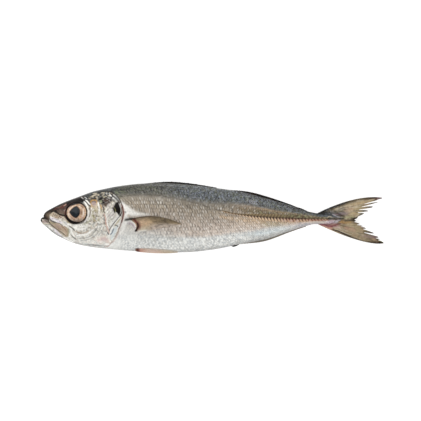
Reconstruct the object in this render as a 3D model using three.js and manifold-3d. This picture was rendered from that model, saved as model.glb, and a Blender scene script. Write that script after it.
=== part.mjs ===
// A whole raw scad, a slim silver sea fish, lying on its right side on a table.
// Millimetres, +Z up. The head points to -X, the back to +Y, and the left side faces up.
//
// Every shape is written in the fish's own coordinates and then laid down:
//   station  distance from the tip of the lower jaw towards the tail
//   height   distance from the body axis towards the back, negative towards the belly
//   side     distance out from the mid-plane, positive on the left, which is the upper side
import * as THREE from "three";
import { LoftGeometry } from "three/addons/geometries/LoftGeometry.js";
import { mergeVertices } from "three/addons/utils/BufferGeometryUtils.js";
import Module from "manifold-3d";

const wasm = await Module();
wasm.setup();

const { smoothstep, lerp, degToRad } = THREE.MathUtils;

// ---- Driving dimensions ----

const FLESH_LENGTH = 241; // jaw tip to the end of the fleshy tail base
const HEAD_LENGTH = 67; // jaw tip to the rear edge of the gill cover

// Outline of the flesh seen from the side, without the fins, as [station, height].
const BACK_LINE = [
  [0, -2], [2.6, -0.4], [3.3, 2.8], [5, 4.5], [9.5, 7.4], [16, 10.6], [28, 15.4], [45, 21.4], [66, 25.6],
  [84, 27.3], [100, 27.6], [118, 26.5], [141, 23.6], [160, 20.8], [180, 15.4], [200, 9.4], [214, 4.8],
  [223, 3.4], [232, 2.6], [241, -0.7],
];
const BELLY_LINE = [
  [0, -2.9], [1.4, -4.7], [5, -7.9], [11, -12.8], [18, -16.6], [26, -20.1], [36, -22.7], [50, -24.6],
  [70, -26.4], [100, -28], [120, -27.5], [140, -25.3], [160, -21.2], [180, -17.5], [200, -10.8], [214, -6.6],
  [221, -5.2], [230, -5.5], [241, -2.6],
];
// Half of the thickness from flank to flank, as [station, side].
const GIRTH = [
  [0, 0.6], [1, 2.2], [4, 3.8], [10, 6.2], [18, 9], [29, 12.1], [42, 14.7], [56, 16.5], [70, 17.6],
  [88, 18.4], [106, 18.3], [124, 17.2], [144, 14.9], [164, 11.8], [184, 8.3], [204, 5.2], [221, 3.8],
  [230, 3.1], [236, 2.1], [241, 0.7],
];
// Height at which a section is widest, as [station, height].
const WIDEST = [[0, -2.4], [8, -3.5], [30, -1.5], [80, 1], [160, 0.5], [241, -1.5]];
// Superellipse power of a section: 2 is an ellipse, more is a boxier head, as [station, power].
const FULLNESS = [[0, 2.2], [26, 2.8], [60, 2.4], [100, 2.15], [241, 2]];
// Height of the mid-plane over the table: the limp tail droops, as [station, z].
const SPINE = [
  [0, 14.4], [30, 15.7], [70, 16.8], [108, 16.6], [150, 14], [190, 10.2], [221, 7.4], [241, 5.8], [276, 2.2],
];
const TABLE_SOFTNESS = 0.6; // how gently the pressed underside meets the table

const EYE = { station: 29.9, height: 4, radius: 8.2, depth: 5.4, bulge: 1.3, socketGap: 0.3 };

const MOUTH = { line: [[2.6, -0.7], [8.1, -5.1], [13.1, -9], [21.2, -14.6]], depth: 1.2, width: 0.9 };
const JAW_PLATE = { from: [5.5, -2.1], to: [21.8, -10.8], slim: 0.8, wide: 3.2, rise: 0.6 };

// Rear edges of the gill cover and of the cheek plate in front of it, as [height, station].
const GILL_EDGE = [
  [-25, 50], [-22.5, 54.8], [-18.5, 58.6], [-9, 63.5], [0.6, 66.6], [5.3, 67.1], [9.3, 66.3], [14.8, 63.9], [21, 57.5],
];
const CHEEK_EDGE = [[-25, 45], [-13, 55.5], [-9, 54], [-3.4, 52.8], [1.4, 52.4], [11.6, 51.2], [21, 46]];
const GILL = { rise: 1.2, fade: 9, slit: 0.7, slitWidth: 1.3, top: 20, topFade: 3 };
const CHEEK = { groove: 0.5, grooveWidth: 1.1, top: 13, topFade: 4 };

const LATERAL_LINE = [[150, 5.4], [160, 3.3], [176, 1], [192, 0.1], [208, -0.3], [241, -1.2]];
const KEEL = { from: 155, to: 222, rise: 0.7, width: 1.1 };

// The forked tail: the curves of its outermost and middle rays, each as start, control point and end.
const TAIL = {
  top: [[222, 3.4], [253.5, 17.7], [275.5, 15.7]],
  middle: [[236, -1.5], [245, -1.6], [253, -1.8]],
  bottom: [[222, -5], [261.5, -23], [277, -20.6]],
  rootThickness: 2.4, tipThickness: 0.8, edgeShare: 0.5,
};
// Gaps between the frayed ray tips: place across the fin from back to belly, with the fork at 0.5, and the share
// of the rays that the gap runs back.
const TAIL_GAPS = [
  [0.05, 0.26], [0.16, 0.24], [0.27, 0.2], [0.34, 0.15], [0.43, 0.08], [0.5, 0],
  [0.6, 0.1], [0.65, 0.1], [0.73, 0.14], [0.82, 0.16], [0.88, 0.07], [0.95, 0.1],
];

// A folded fin that lies along the back or the belly: its length, the crest above the flesh and its thickness.
const FIRST_DORSAL = { from: 82, to: 141, crest: 1.3, thickness: 1.8, peak: 0.45 };
const SECOND_DORSAL = { from: 152, to: 207, crest: 1.7, thickness: 1.6, peak: 0.42 };
const FINLET = { from: 203, to: 214, crest: 0.9, thickness: 1.2, peak: 0.55 };
const ANAL_SPINES = { from: 152, to: 159, crest: 1.1, thickness: 1.4, peak: 0.5 };
const ANAL = { from: 158, to: 213, crest: 1.4, thickness: 1.5, peak: 0.4 };
// What folded fins share: how deep their root sits, and the crest at their rear end and thickness at their edge as
// shares of the full ones.
const FOLD = { rootDepth: 2.5, endCrest: 0.35, edgeThickness: 0.25 };

const PECTORAL = {
  top: [[72.5, -1.2], [93, 5.2], [113.5, -5]],
  bottom: [[76.2, -10.9], [86, -11.8], [92, -8], [113.5, -5.5]],
  rootBow: 3.2, thickness: 1, sink: 0.35,
};
const PELVIC = { from: 76.5, to: 110, rootAngle: 158, tipAngle: 163, halfSpread: 13, thickness: 1.1, sink: 0.3 };

// Points round a section of the flesh, the number of sections, and their places as [share of them, station]:
// close together at the jaws, less so on the head, and widest apart on the plain body.
const RING = 40;
const SECTIONS = 84;
const SECTION_SPACING = [[0, 0], [0.08, 5.5], [0.46, HEAD_LENGTH + 4], [1, FLESH_LENGTH]];

// ---- Curves ----

// Monotone cubic curve through [x, y] points: it never swings past them, and is level beyond its ends.
function through(points) {
  const slope = points.slice(1).map(([x, y], i) => (y - points[i][1]) / (x - points[i][0]));
  const tangent = points.map((_, i) => {
    const before = slope[Math.max(i - 1, 0)];
    const after = slope[Math.min(i, slope.length - 1)];
    return before * after <= 0 ? 0 : (2 * before * after) / (before + after);
  });
  return (x) => {
    const last = points.length - 1;
    if (x <= points[0][0]) return points[0][1];
    if (x >= points[last][0]) return points[last][1];
    const i = points.findIndex(([px]) => px > x) - 1;
    const width = points[i + 1][0] - points[i][0];
    const t = (x - points[i][0]) / width;
    const ease = t * t * (3 - 2 * t);
    const leave = width * tangent[i] * t * (1 - t) ** 2;
    const arrive = width * tangent[i + 1] * t * t * (t - 1);
    return lerp(points[i][1], points[i + 1][1], ease) + leave + arrive;
  };
}

const back = through(BACK_LINE);
const belly = through(BELLY_LINE);
const girth = through(GIRTH);
const widest = through(WIDEST);
const fullness = through(FULLNESS);
const spine = through(SPINE);
const gillEdge = through(GILL_EDGE);
const cheekEdge = through(CHEEK_EDGE);
const lateralLine = through(LATERAL_LINE);

// A bump of height 1 and the given width round 0.
const bump = (distance, width) => Math.exp(-((distance / width) ** 2));

const pair = ([x, y]) => new THREE.Vector2(x, y);

// ---- Relief of the head and the tail's keel, as a distance out of the smooth flank ----

const mouthLine = new THREE.SplineCurve(MOUTH.line.map(pair)).getPoints(24);

function mouthGroove(point) {
  const gap = Math.min(...mouthLine.map((p) => p.distanceTo(point)));
  return -MOUTH.depth * bump(gap, MOUTH.width);
}

// The blade-shaped plate of the upper jaw, which widens towards its round rear end.
function jawPlate(point) {
  const from = pair(JAW_PLATE.from);
  const along = pair(JAW_PLATE.to).sub(from);
  const length = along.length();
  along.normalize();
  const offset = point.clone().sub(from);
  const share = THREE.MathUtils.clamp(offset.dot(along) / length, 0, 1);
  const nearest = from.addScaledVector(along, share * length);
  const inside = lerp(JAW_PLATE.slim, JAW_PLATE.wide, share) - nearest.distanceTo(point);
  return JAW_PLATE.rise * smoothstep(inside, -0.5, 0.6);
}

// The gill cover lifts towards its rear edge, and the slit runs behind it.
function gillCover({ x: station, y: height }) {
  const ahead = gillEdge(height) - station;
  const plate = GILL.rise * Math.exp(-Math.max(ahead, 0) / GILL.fade) * smoothstep(ahead, -0.5, 0.7);
  const slit = -GILL.slit * bump(ahead + GILL.slitWidth, GILL.slitWidth);
  return (plate + slit) * (1 - smoothstep(Math.abs(height), GILL.top, GILL.top + GILL.topFade));
}

function cheekGroove({ x: station, y: height }) {
  const groove = -CHEEK.groove * bump(station - cheekEdge(height), CHEEK.grooveWidth);
  return groove * (1 - smoothstep(Math.abs(height), CHEEK.top, CHEEK.top + CHEEK.topFade));
}

// The row of keeled scales along the rear of the lateral line.
function keel({ x: station, y: height }) {
  const length = smoothstep(station, KEEL.from, KEEL.from + 30) * (1 - smoothstep(station, KEEL.to, KEEL.to + 14));
  return KEEL.rise * length * bump(height - lateralLine(station), KEEL.width);
}

function relief(station, height) {
  const point = new THREE.Vector2(station, height);
  if (station > HEAD_LENGTH + 10) return keel(point);
  return mouthGroove(point) + jawPlate(point) + gillCover(point) + cheekGroove(point);
}

// ---- The body's surface ----

// Lays a point of the fish down. What would sink into the table is pressed flat on it.
function lay(station, height, side) {
  const z = spine(station) + side;
  const blend = THREE.MathUtils.clamp((z + TABLE_SOFTNESS) / (2 * TABLE_SOFTNESS), 0, 1);
  return new THREE.Vector3(station, height, z < TABLE_SOFTNESS ? TABLE_SOFTNESS * blend * blend : z);
}

// Angle 0 is the middle of the back, 90 the left flank, 180 the belly and 270 the right flank.
function skin(station, degrees, out = 0) {
  const angle = degToRad(degrees);
  const power = 2 / fullness(station);
  const rise = Math.sign(Math.cos(angle)) * Math.abs(Math.cos(angle)) ** power;
  const reach = Math.sign(Math.sin(angle)) * Math.abs(Math.sin(angle)) ** power;
  const middle = widest(station);
  const half = rise > 0 ? back(station) - middle : middle - belly(station);
  const height = middle + rise * half;
  const side = reach * girth(station) + reach * relief(station, height);
  return lay(station, height + out * Math.cos(angle), side + out * Math.sin(angle));
}

// How far the smooth flank stands out from the mid-plane at a station and height.
function flank(station, height) {
  const middle = widest(station);
  const half = height > middle ? back(station) - middle : middle - belly(station);
  const share = Math.min(Math.abs(height - middle) / half, 1);
  return girth(station) * (1 - share ** fullness(station)) ** (1 / fullness(station));
}

// ---- Solids ----

function solidOf(geometry) {
  const bare = new THREE.BufferGeometry();
  bare.setAttribute("position", geometry.getAttribute("position"));
  bare.setIndex(geometry.index);
  const merged = mergeVertices(bare, 1e-4);
  const corners = merged.index.array;
  const kept = [];
  for (let i = 0; i < corners.length; i += 3) {
    const [a, b, c] = corners.slice(i, i + 3);
    if (a !== b && b !== c && c !== a) kept.push(a, b, c);
  }
  const vertProperties = new Float32Array(merged.getAttribute("position").array);
  return new wasm.Manifold(new wasm.Mesh({ numProp: 3, vertProperties, triVerts: new Uint32Array(kept) }));
}

function geometryOf(solid) {
  const { vertProperties, triVerts } = solid.getMesh();
  const geometry = new THREE.BufferGeometry();
  geometry.setAttribute("position", new THREE.BufferAttribute(vertProperties, 3));
  geometry.setIndex(new THREE.BufferAttribute(triVerts, 1));
  geometry.computeVertexNormals();
  return geometry;
}

// Evenly spaced values from 0 to 1.
const shares = (steps) => Array.from({ length: steps + 1 }, (_, i) => i / steps);

const capped = { capStart: true, capEnd: true };

function flesh() {
  const station = through(SECTION_SPACING);
  const sections = shares(SECTIONS).map((share) =>
    shares(RING).slice(0, RING).map((turn) => skin(station(share), 360 * turn)),
  );
  return solidOf(new LoftGeometry(sections, capped));
}

// A thin fin: face(across, along, up) is a point of its upper or lower face.
function plate(columns, rows, face) {
  const sections = rows.map((along) => [
    ...columns.map((across) => face(across, along, 1)),
    ...columns.toReversed().map((across) => face(across, along, -1)),
  ]);
  return solidOf(new LoftGeometry(sections, capped));
}

// A fin folded down on the back (up = 1) or the belly (up = -1), standing on the mid-plane.
function foldedFin(fin, edge, up) {
  const outline = through([[0, 0], [fin.peak, 1], [1, FOLD.endCrest]]);
  return plate([0, 0.5, 1], shares(14), (across, along, face) => {
    const station = lerp(fin.from, fin.to, along);
    const crest = edge(station) + up * fin.crest * outline(along);
    const root = edge(station) - up * FOLD.rootDepth;
    const thickness = fin.thickness * lerp(1, FOLD.edgeThickness, across);
    return lay(station, lerp(root, crest, across), (-up * face * thickness) / 2);
  });
}

// The rays fan out from the tail base in bundles, and each bundle narrows to a frayed tip between two gaps.
function tailFin() {
  const [top, middle, bottom] = [TAIL.top, TAIL.middle, TAIL.bottom].map(
    (points) => new THREE.QuadraticBezierCurve(...points.map(pair)),
  );
  const rays = [{ across: 0, cut: 0 }];
  for (const [gap, cut] of [...TAIL_GAPS, [1, 0]]) {
    const last = rays.at(-1).across;
    for (const place of [0.4, 0.6]) rays.push({ across: lerp(last, gap, place), cut: 0 });
    rays.push({ across: gap, cut });
  }
  return plate(rays, shares(8), ({ across, cut }, along, face) => {
    const share = along * (1 - cut);
    const inLobe = Math.abs(2 * across - 1);
    const point = middle.getPoint(share).lerp((across < 0.5 ? top : bottom).getPoint(share), inLobe);
    const thickness = lerp(TAIL.rootThickness, TAIL.tipThickness, share) * lerp(1, TAIL.edgeShare, inLobe ** 8);
    return lay(point.x, point.y, (face * thickness) / 2);
  });
}

// A pectoral fin laid back on the flank: hand is 1 on the left side and -1 on the right.
function pectoralFin(hand) {
  const top = new THREE.QuadraticBezierCurve(...PECTORAL.top.map(pair));
  const bottom = new THREE.CubicBezierCurve(...PECTORAL.bottom.map(pair));
  return plate(shares(6), shares(12), (across, along, face) => {
    const place = top.getPoint(along).lerp(bottom.getPoint(along), across);
    place.x += PECTORAL.rootBow * Math.sin(Math.PI * across) * (1 - along) ** 3;
    const outer = lay(place.x, place.y, hand * (flank(place.x, place.y) + PECTORAL.thickness - PECTORAL.sink));
    if (face !== hand) outer.z -= hand * PECTORAL.thickness;
    return outer;
  });
}

// A pelvic fin laid back along the belly beside its middle.
function pelvicFin(hand) {
  return plate(shares(6), shares(12), (across, along, face) => {
    const station = lerp(PELVIC.from, PELVIC.to, along);
    const middle = lerp(PELVIC.rootAngle, PELVIC.tipAngle, along);
    const spread = PELVIC.halfSpread * Math.sqrt(Math.sin(Math.PI * lerp(0.1, 0.98, along)));
    const angle = middle + spread * (2 * across - 1);
    const out = face * hand > 0 ? PELVIC.thickness - PELVIC.sink : -PELVIC.sink;
    return skin(station, hand * angle, out);
  });
}

// ---- Eyes ----

const ball = new THREE.SphereGeometry(1, 20, 14).rotateX(Math.PI / 2);

// The eyeball is a flattened ball that faces out of the flank, grown by the given gap for its socket.
function placeEye(object, hand, gap = 0) {
  const { station, height, radius, depth, bulge } = EYE;
  const step = 1;
  const alongSlope = (flank(station + step, height) - flank(station - step, height)) / (2 * step);
  const upSlope = (flank(station, height + step) - flank(station, height - step)) / (2 * step);
  const facing = new THREE.Vector3(-alongSlope, -upSlope, hand).normalize();
  const surface = new THREE.Vector3(station, height, spine(station) + hand * flank(station, height));
  object.position.copy(surface).addScaledVector(facing, bulge - depth);
  object.quaternion.setFromUnitVectors(new THREE.Vector3(0, 0, 1), facing);
  object.scale.set(radius + gap, radius + gap, depth + gap);
  object.updateMatrix();
  return object;
}

function socket(hand) {
  const { matrix } = placeEye(new THREE.Object3D(), hand, EYE.socketGap);
  return solidOf(ball.clone().applyMatrix4(matrix));
}

// ---- The fish ----

const skinMaterial = new THREE.MeshStandardMaterial({ color: 0xa9a59c, roughness: 0.35, metalness: 0.3 });
const eyeMaterial = new THREE.MeshStandardMaterial({ color: 0x33302e, roughness: 0.1, metalness: 0 });

const fins = [
  tailFin(),
  foldedFin(FIRST_DORSAL, back, 1),
  foldedFin(SECOND_DORSAL, back, 1),
  foldedFin(FINLET, back, 1),
  foldedFin(ANAL_SPINES, belly, -1),
  foldedFin(ANAL, belly, -1),
  pectoralFin(1),
  pectoralFin(-1),
  pelvicFin(1),
  pelvicFin(-1),
];
const bodySolid = fins
  .reduce((whole, fin) => whole.add(fin), flesh())
  .subtract(socket(1))
  .subtract(socket(-1));

const fish = new THREE.Group();

const body = new THREE.Mesh(geometryOf(bodySolid), skinMaterial);
body.name = "body";
fish.add(body);

for (const [name, hand] of [["left_eye", 1], ["right_eye", -1]]) {
  const eye = placeEye(new THREE.Mesh(ball, eyeMaterial), hand);
  eye.name = name;
  fish.add(eye);
}

// The origin is under the middle of the fish, on the table.
const box = new THREE.Box3().setFromObject(body);
const middle = box.getCenter(new THREE.Vector3());
fish.position.set(-middle.x, -middle.y, -box.min.z);

export default fish;
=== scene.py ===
"""The looks of a whole raw scad lying on its right side: skin, scales, fins, eyes and a plain stage.

Shapes are written in the fish's own millimetres, as its solids are:
  station  distance from the tip of the lower jaw towards the tail
  height   distance from the body axis towards the back, negative towards the belly
  side     distance out from the mid-plane, positive on the left, which is the upper side
"""

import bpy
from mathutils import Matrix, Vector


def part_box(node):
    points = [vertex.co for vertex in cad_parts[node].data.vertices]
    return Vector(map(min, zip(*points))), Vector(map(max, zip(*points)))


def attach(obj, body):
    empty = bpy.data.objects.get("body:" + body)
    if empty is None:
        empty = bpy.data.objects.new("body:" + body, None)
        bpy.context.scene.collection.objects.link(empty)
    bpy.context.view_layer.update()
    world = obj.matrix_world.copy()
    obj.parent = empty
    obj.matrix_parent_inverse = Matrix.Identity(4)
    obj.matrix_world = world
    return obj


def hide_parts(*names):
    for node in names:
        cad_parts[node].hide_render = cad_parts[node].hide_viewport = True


bl_info = {
    "name": "Whole Raw Scad",
    "version": (1, 0, 0),
    "blender": (4, 5, 0),
    "location": "3D View > Sidebar > Fish",
    "description": "Builds the skin, scales, fins and eyes of a whole raw scad, and its stage",
    "category": "Add Mesh",
}

from itertools import product

import bmesh
import bpy
import numpy as np
from bpy.props import FloatProperty, FloatVectorProperty, IntProperty, PointerProperty
from bpy.types import Operator, Panel, PropertyGroup
from mathutils import Vector

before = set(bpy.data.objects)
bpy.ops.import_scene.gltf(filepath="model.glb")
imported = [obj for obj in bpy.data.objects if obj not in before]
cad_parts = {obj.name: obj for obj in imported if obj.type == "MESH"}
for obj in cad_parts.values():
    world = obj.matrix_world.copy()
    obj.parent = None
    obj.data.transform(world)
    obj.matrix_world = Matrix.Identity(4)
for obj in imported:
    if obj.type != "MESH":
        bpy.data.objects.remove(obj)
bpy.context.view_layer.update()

MM = 0.001

# ---- Driving sizes of the fish, in millimetres, as in its solids ----

FLESH_LENGTH = 241
# Outline of the flesh seen from the side, without the fins, as (station, height).
BACK_LINE = [
    (0, -1.6), (0.5, -0.6), (1.2, 0.1), (1.8, 0.3), (2.2, 0.1), (2.6, 2.4), (4.4, 4.7), (9.5, 7.7),
    (16, 11), (28, 15.7), (45, 21.5), (66, 25.6), (84, 27.3), (100, 27.6), (118, 26.5), (141, 23.6),
    (160, 20.9), (180, 15.8), (200, 9.9), (214, 5.1), (223, 3.4), (232, 2.6), (241, -0.7),
]
BELLY_LINE = [
    (0, -2.9), (1.4, -4.7), (5, -7.9), (11, -12.8), (18, -16.6), (26, -20.1), (36, -22.7), (50, -24.6),
    (70, -26.4), (100, -28), (120, -27.5), (140, -25.3), (160, -21.2), (180, -17.5), (200, -10.8),
    (214, -6.6), (221, -5.2), (230, -5.5), (241, -2.6),
]
# Half of the thickness from flank to flank, as (station, side).
GIRTH = [
    (0, 0.6), (1, 2.2), (4, 3.8), (10, 6.2), (18, 9), (29, 12.1), (42, 14.7), (56, 16.5), (70, 17.6),
    (88, 18.4), (106, 18.3), (124, 17.2), (144, 14.9), (164, 11.8), (184, 8.3), (204, 5.2), (221, 3.8),
    (230, 3.1), (236, 2.1), (241, 0.7),
]
WIDEST = [(0, -2.4), (8, -3.5), (30, -1.5), (80, 1), (160, 0.5), (241, -1.5)]
FULLNESS = [(0, 2.2), (26, 2.8), (60, 2.4), (100, 2.15), (241, 2)]
SPINE = [
    (0, 14.4), (30, 15.7), (70, 16.8), (108, 16.6), (150, 14), (190, 10.2), (221, 7.4), (241, 5.8),
    (276, 2.2),
]
TABLE_SOFTNESS = 0.6

EYE = {"station": 29.9, "height": 4, "radius": 8.2, "depth": 5.4, "bulge": 1.3, "rim": 0.15}
# The eyeball: height and radius of the ellipse that curves its front, and the depth of its back.
EYEBALL = {"dome": 2.5, "dome_radius": 8.5, "back": 4.9}
# How far the skin drops behind the eyeball, and the height of the rim that it makes round it.
SOCKET = {"drop": 4.2, "lip": 0.35}
MOUTH = {"line": [(2.6, -0.7), (8.1, -5.1), (13.1, -9), (21.2, -14.6)], "depth": 1.2, "width": 0.75}
# The eye is wider along the body than across it, and its front bends round with the flank.
EYE_STRETCH = 1.06
EYE_BEND = 1.2
# Rear edges of the gill cover and of the cheek plate in front of it, as (height, station).
GILL_EDGE = [
    (-25, 50), (-22.5, 54.8), (-18.5, 58.6), (-9, 63.5), (0.6, 66.6), (5.3, 67.1), (9.3, 66.3),
    (14.8, 63.9), (21, 57.5),
]
CHEEK_EDGE = [(-25, 45), (-13, 55.5), (-9, 54), (-3.4, 52.8), (1.4, 52.4), (11.6, 51.2), (21, 46)]
GILL = {"rise": 0.7, "fade": 9, "top": 20, "top_fade": 3}
# Steps of the gill cover's rolled rear edge, forwards and inwards.
GILL_ROLL = ((0.1, 0.3), (0.5, 0.8), (1.5, 1.2))
# The whole lateral line, and the upper edge of the pale flank under the dark back.
LATERAL_LINE = [
    (62, 16.4), (72.5, 17.6), (87, 18), (100, 16.8), (112, 14.4), (124, 11.8), (136, 8), (148, 4.6),
    (160, 2.4), (176, 0.7), (192, -0.3), (208, -0.8), (241, -1.4),
]
DARK_EDGE = [
    (62, 16.5), (72, 17.5), (87, 17.6), (100, 16.6), (112, 14.9), (124, 12.7), (136, 11.4), (150, 11.2),
    (160, 10.8), (176, 8.2), (192, 5.2), (208, 2.9), (224, 0.8), (241, -0.2),
]

# The forked tail: its outermost and middle rays, each as start, control point and end.
TAIL = {
    "top": [(222, 3.4), (253.5, 19.1), (276, 16.1)],
    "middle": [(236, -1.5), (245, -1.6), (253, -1.8)],
    "bottom": [(222, -5), (261.5, -23.6), (277.2, -20.8)],
    "root": 2.4, "tip": 0.8, "edge_share": 0.5,
}
# The frayed edge, tips of ray bundles and notches, as place across the fin and share of its length.
TAIL_EDGE = [
    (0, 0.98), (0.03, 1.0), (0.1, 0.95), (0.165, 0.78), (0.195, 1.013), (0.225, 0.777), (0.253, 1.037),
    (0.282, 0.768), (0.315, 1.056), (0.349, 0.813), (0.385, 1.032), (0.435, 0.963), (0.466, 0.998),
    (0.492, 0.966), (0.511, 0.986), (0.543, 0.861), (0.58, 0.971), (0.604, 0.826), (0.63, 0.991),
    (0.642, 0.881), (0.665, 1.009), (0.682, 0.883), (0.725, 1.058), (0.757, 0.794), (0.83, 1.043),
    (0.876, 0.938), (0.895, 1.013), (0.915, 0.944), (0.97, 0.996), (1, 0.98),
]
# How far the ends of the rays bend outwards, in places across the fin.
TAIL_BEND = [
    (0, 0), (0.03, -0.02), (0.165, -0.09), (0.195, -0.1), (0.253, -0.042), (0.315, -0.013), (0.385, -0.026),
    (0.45, 0), (0.65, 0.005), (0.725, 0.057), (0.83, 0.036), (0.895, 0.016), (1, 0),
]

# Folded fins: from and to, crest above the flesh, thickness, place of the peak, number of rays, and 1 on the
# back or -1 on the belly.
FOLDED_FINS = {
    "first_dorsal": (82, 141, 1.3, 1.8, 0.45, 9, 1),
    "second_dorsal": (152, 207, 1.7, 1.6, 0.42, 26, 1),
    "finlet": (203, 214, 0.9, 1.2, 0.55, 4, 1),
    "anal_spines": (152.5, 159, 1.2, 1.6, 0.4, 2, -1),
    "anal_fin": (158, 213, 1.4, 1.5, 0.4, 24, -1),
}
FOLD = {"root_depth": 2.5, "end_crest": 0.35, "edge_thickness": 0.25}
PECTORAL = {
    "top": [(72.5, -1.2), (93, 5.2), (113.5, -5)],
    "bottom": [(76.2, -10.9), (86, -11.8), (92, -8), (113.5, -5.5)],
    "root_bow": 3.2, "thickness": 1, "sink": 0.35,
}
PELVIC = {
    "from": 76.5, "to": 110, "root_angle": 160, "tip_angle": 165, "spread": 11,
    "thickness": 1.1, "sink": 0.3,
}
# The row of keeled scales, and where the ridge under them rises and dies out.
SCUTE_ROW = (146, 228)
KEEL = {"starts": (155, 185), "ends": (222, 236), "rise": 0.7}
# What the camera looks at, and half of the table's width in metres.
VIEW_CENTRE = (136.2, 5.7)
TABLE_HALF = 2.0
TABLE_DROP = 0.3  # millimetres under the fish
# Lamps: name, place and width in metres, and power in watts.
LAMPS = (("key", (-0.9, 1.1, 1.3), 1.7, 18), ("fill", (0.9, -1.1, 1.2), 1.7, 13))

# How finely the surfaces are drawn: points along and round each scale, and round the head.
ALONG = 5
AROUND = 4
HEAD_COLUMNS = 196
HEAD_ROWS = 400
HIDDEN = 6  # columns of the trunk under the gill cover
# Stations whose sections space the points round the head and the trunk, and where the trunk's scales start.
HEAD_SECTION, TRUNK_SECTION, TRUNK_START = 40, 110, 62
# Scales are longer than their mean at the front by this share, and as much shorter at the tail.
NARROWING = 0.185
# How far a column of scales slants back, as a share of the distance from the lateral line.
SCALE_LEAN = 0.42
# How the scales overlap and differ: rows are closer than the scales are wide, and a hash numbers each scale.
ROW_OVERLAP = 0.86
SCALE_HASH = (92821, 68917, 9973)
GOLDEN_SHARE = 0.6180339
# How many random values the noise has, how its cells step through them, and the size of the blobs of
# noise that make painted edges wander.
NOISE_VALUES = 4096
NOISE_STEPS = (1, 157, 4057)
WANDER_SIZE = 2.3


# ---- Curves and numbers ----


def through(points):
    """Monotone cubic curve through (x, y) points, level beyond its ends."""
    x, y = np.array(points, float).T
    slope = np.diff(y) / np.diff(x)
    before = np.concatenate([slope[:1], slope])
    after = np.concatenate([slope, slope[-1:]])
    level = before * after <= 0
    tangent = np.where(level, 0, 2 * before * after / np.where(level, 1, before + after))

    def curve(at):
        at = np.clip(np.asarray(at, float), x[0], x[-1])
        i = np.clip(np.searchsorted(x, at, side="right") - 1, 0, len(x) - 2)
        width = x[i + 1] - x[i]
        t = (at - x[i]) / width
        rise = (y[i + 1] - y[i]) * t * t * (3 - 2 * t)
        return y[i] + rise + width * (tangent[i] * t * (1 - t) ** 2 + tangent[i + 1] * t * t * (t - 1))

    return curve


back, belly, girth = through(BACK_LINE), through(BELLY_LINE), through(GIRTH)
widest, fullness, spine = through(WIDEST), through(FULLNESS), through(SPINE)
gill_edge, cheek_edge = through(GILL_EDGE), through(CHEEK_EDGE)
lateral_line, dark_edge, tail_bend = through(LATERAL_LINE), through(DARK_EDGE), through(TAIL_BEND)


def smooth(value, low, high):
    """0 below low, 1 above high, and a soft step between them."""
    t = np.clip((value - low) / (high - low), 0, 1)
    return t * t * (3 - 2 * t)


def fade(value, low, high):
    """1 below low, 0 above high, and a soft step between them."""
    return 1 - smooth(value, low, high)


def bump(distance, width):
    """1 at no distance, and softly 0 beyond a width."""
    return np.exp(-((distance / width) ** 2))


def lerp(start, end, share):
    return start + (end - start) * share


def bezier(points, share):
    """Points of a quadratic or cubic Bezier curve."""
    points = [np.multiply.outer(np.ones_like(share), np.array(p, float)) for p in points]
    while len(points) > 1:
        points = [lerp(a, b, share[..., None]) for a, b in zip(points, points[1:])]
    return points[0]


def rounded(line, steps=5):
    """A smooth line through the given points."""
    p = np.array([line[0], *line, line[-1]], float)
    t = np.linspace(0, 1, steps, endpoint=False)[:, None]
    pieces = []
    for a, b, c, d in zip(p, p[1:], p[2:], p[3:]):
        bend = (2 * a - 5 * b + 4 * c - d) * t**2 / 2
        pieces.append(b + (c - a) * t / 2 + bend + (3 * b - a - 3 * c + d) * t**3 / 2)
    return np.concatenate([*pieces, p[-1:]])


def noise(places, size, seed):
    """Soft random blobs of the given size, from 0 to 1, at points in millimetres."""
    table = np.random.default_rng(seed).random(NOISE_VALUES)
    cell = np.floor(places / size).astype(np.int64)
    part = places / size - cell
    part = part * part * (3 - 2 * part)
    total = np.zeros(places.shape[:-1])
    for corner in product((0, 1), repeat=places.shape[-1]):
        offset = np.array(corner)
        key = (cell + offset) @ np.array(NOISE_STEPS)[: len(offset)] % NOISE_VALUES
        total += np.prod(np.where(offset, part, 1 - part), axis=-1) * table[key]
    return total


def outline(text):
    """Points written as station,height pairs."""
    return [tuple(float(number) for number in point.split(",")) for point in text.split()]


def strokes(table):
    """Brush strokes, one to a line: colour, share, width, relief, and the points that it runs through."""
    rows = [row.split(maxsplit=4) for row in table.strip().splitlines()]
    return [(name, *map(float, numbers), outline(points)) for name, *numbers, points in rows]


def linear(code):
    """An sRGB hex colour as linear red, green and blue."""
    parts = [int(code[i : i + 2], 16) / 255 for i in (1, 3, 5)]
    return tuple(c / 12.92 if c <= 0.04045 else ((c + 0.055) / 1.055) ** 2.4 for c in parts)


# ---- The body's surface ----


def section(station, degrees):
    """Height and side of the smooth body. 0 degrees is the back, 90 the left flank, 180 the belly."""
    angle = np.radians(degrees)
    power = 2 / fullness(station)
    rise = np.sign(np.cos(angle)) * np.abs(np.cos(angle)) ** power
    reach = np.sign(np.sin(angle)) * np.abs(np.sin(angle)) ** power
    middle = widest(station)
    half = np.where(rise > 0, back(station) - middle, middle - belly(station))
    return middle + rise * half, reach * girth(station)


def flank(station, height):
    """How far the smooth flank stands out from the mid-plane."""
    middle = widest(station)
    half = np.where(height > middle, back(station) - middle, middle - belly(station))
    share = np.minimum(np.abs(height - middle) / half, 1)
    return girth(station) * (1 - share ** fullness(station)) ** (1 / fullness(station))


def keel_rise(station):
    """Height of the ridge that the keeled scales stand on."""
    return KEEL["rise"] * smooth(station, *KEEL["starts"]) * fade(station, *KEEL["ends"])


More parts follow.
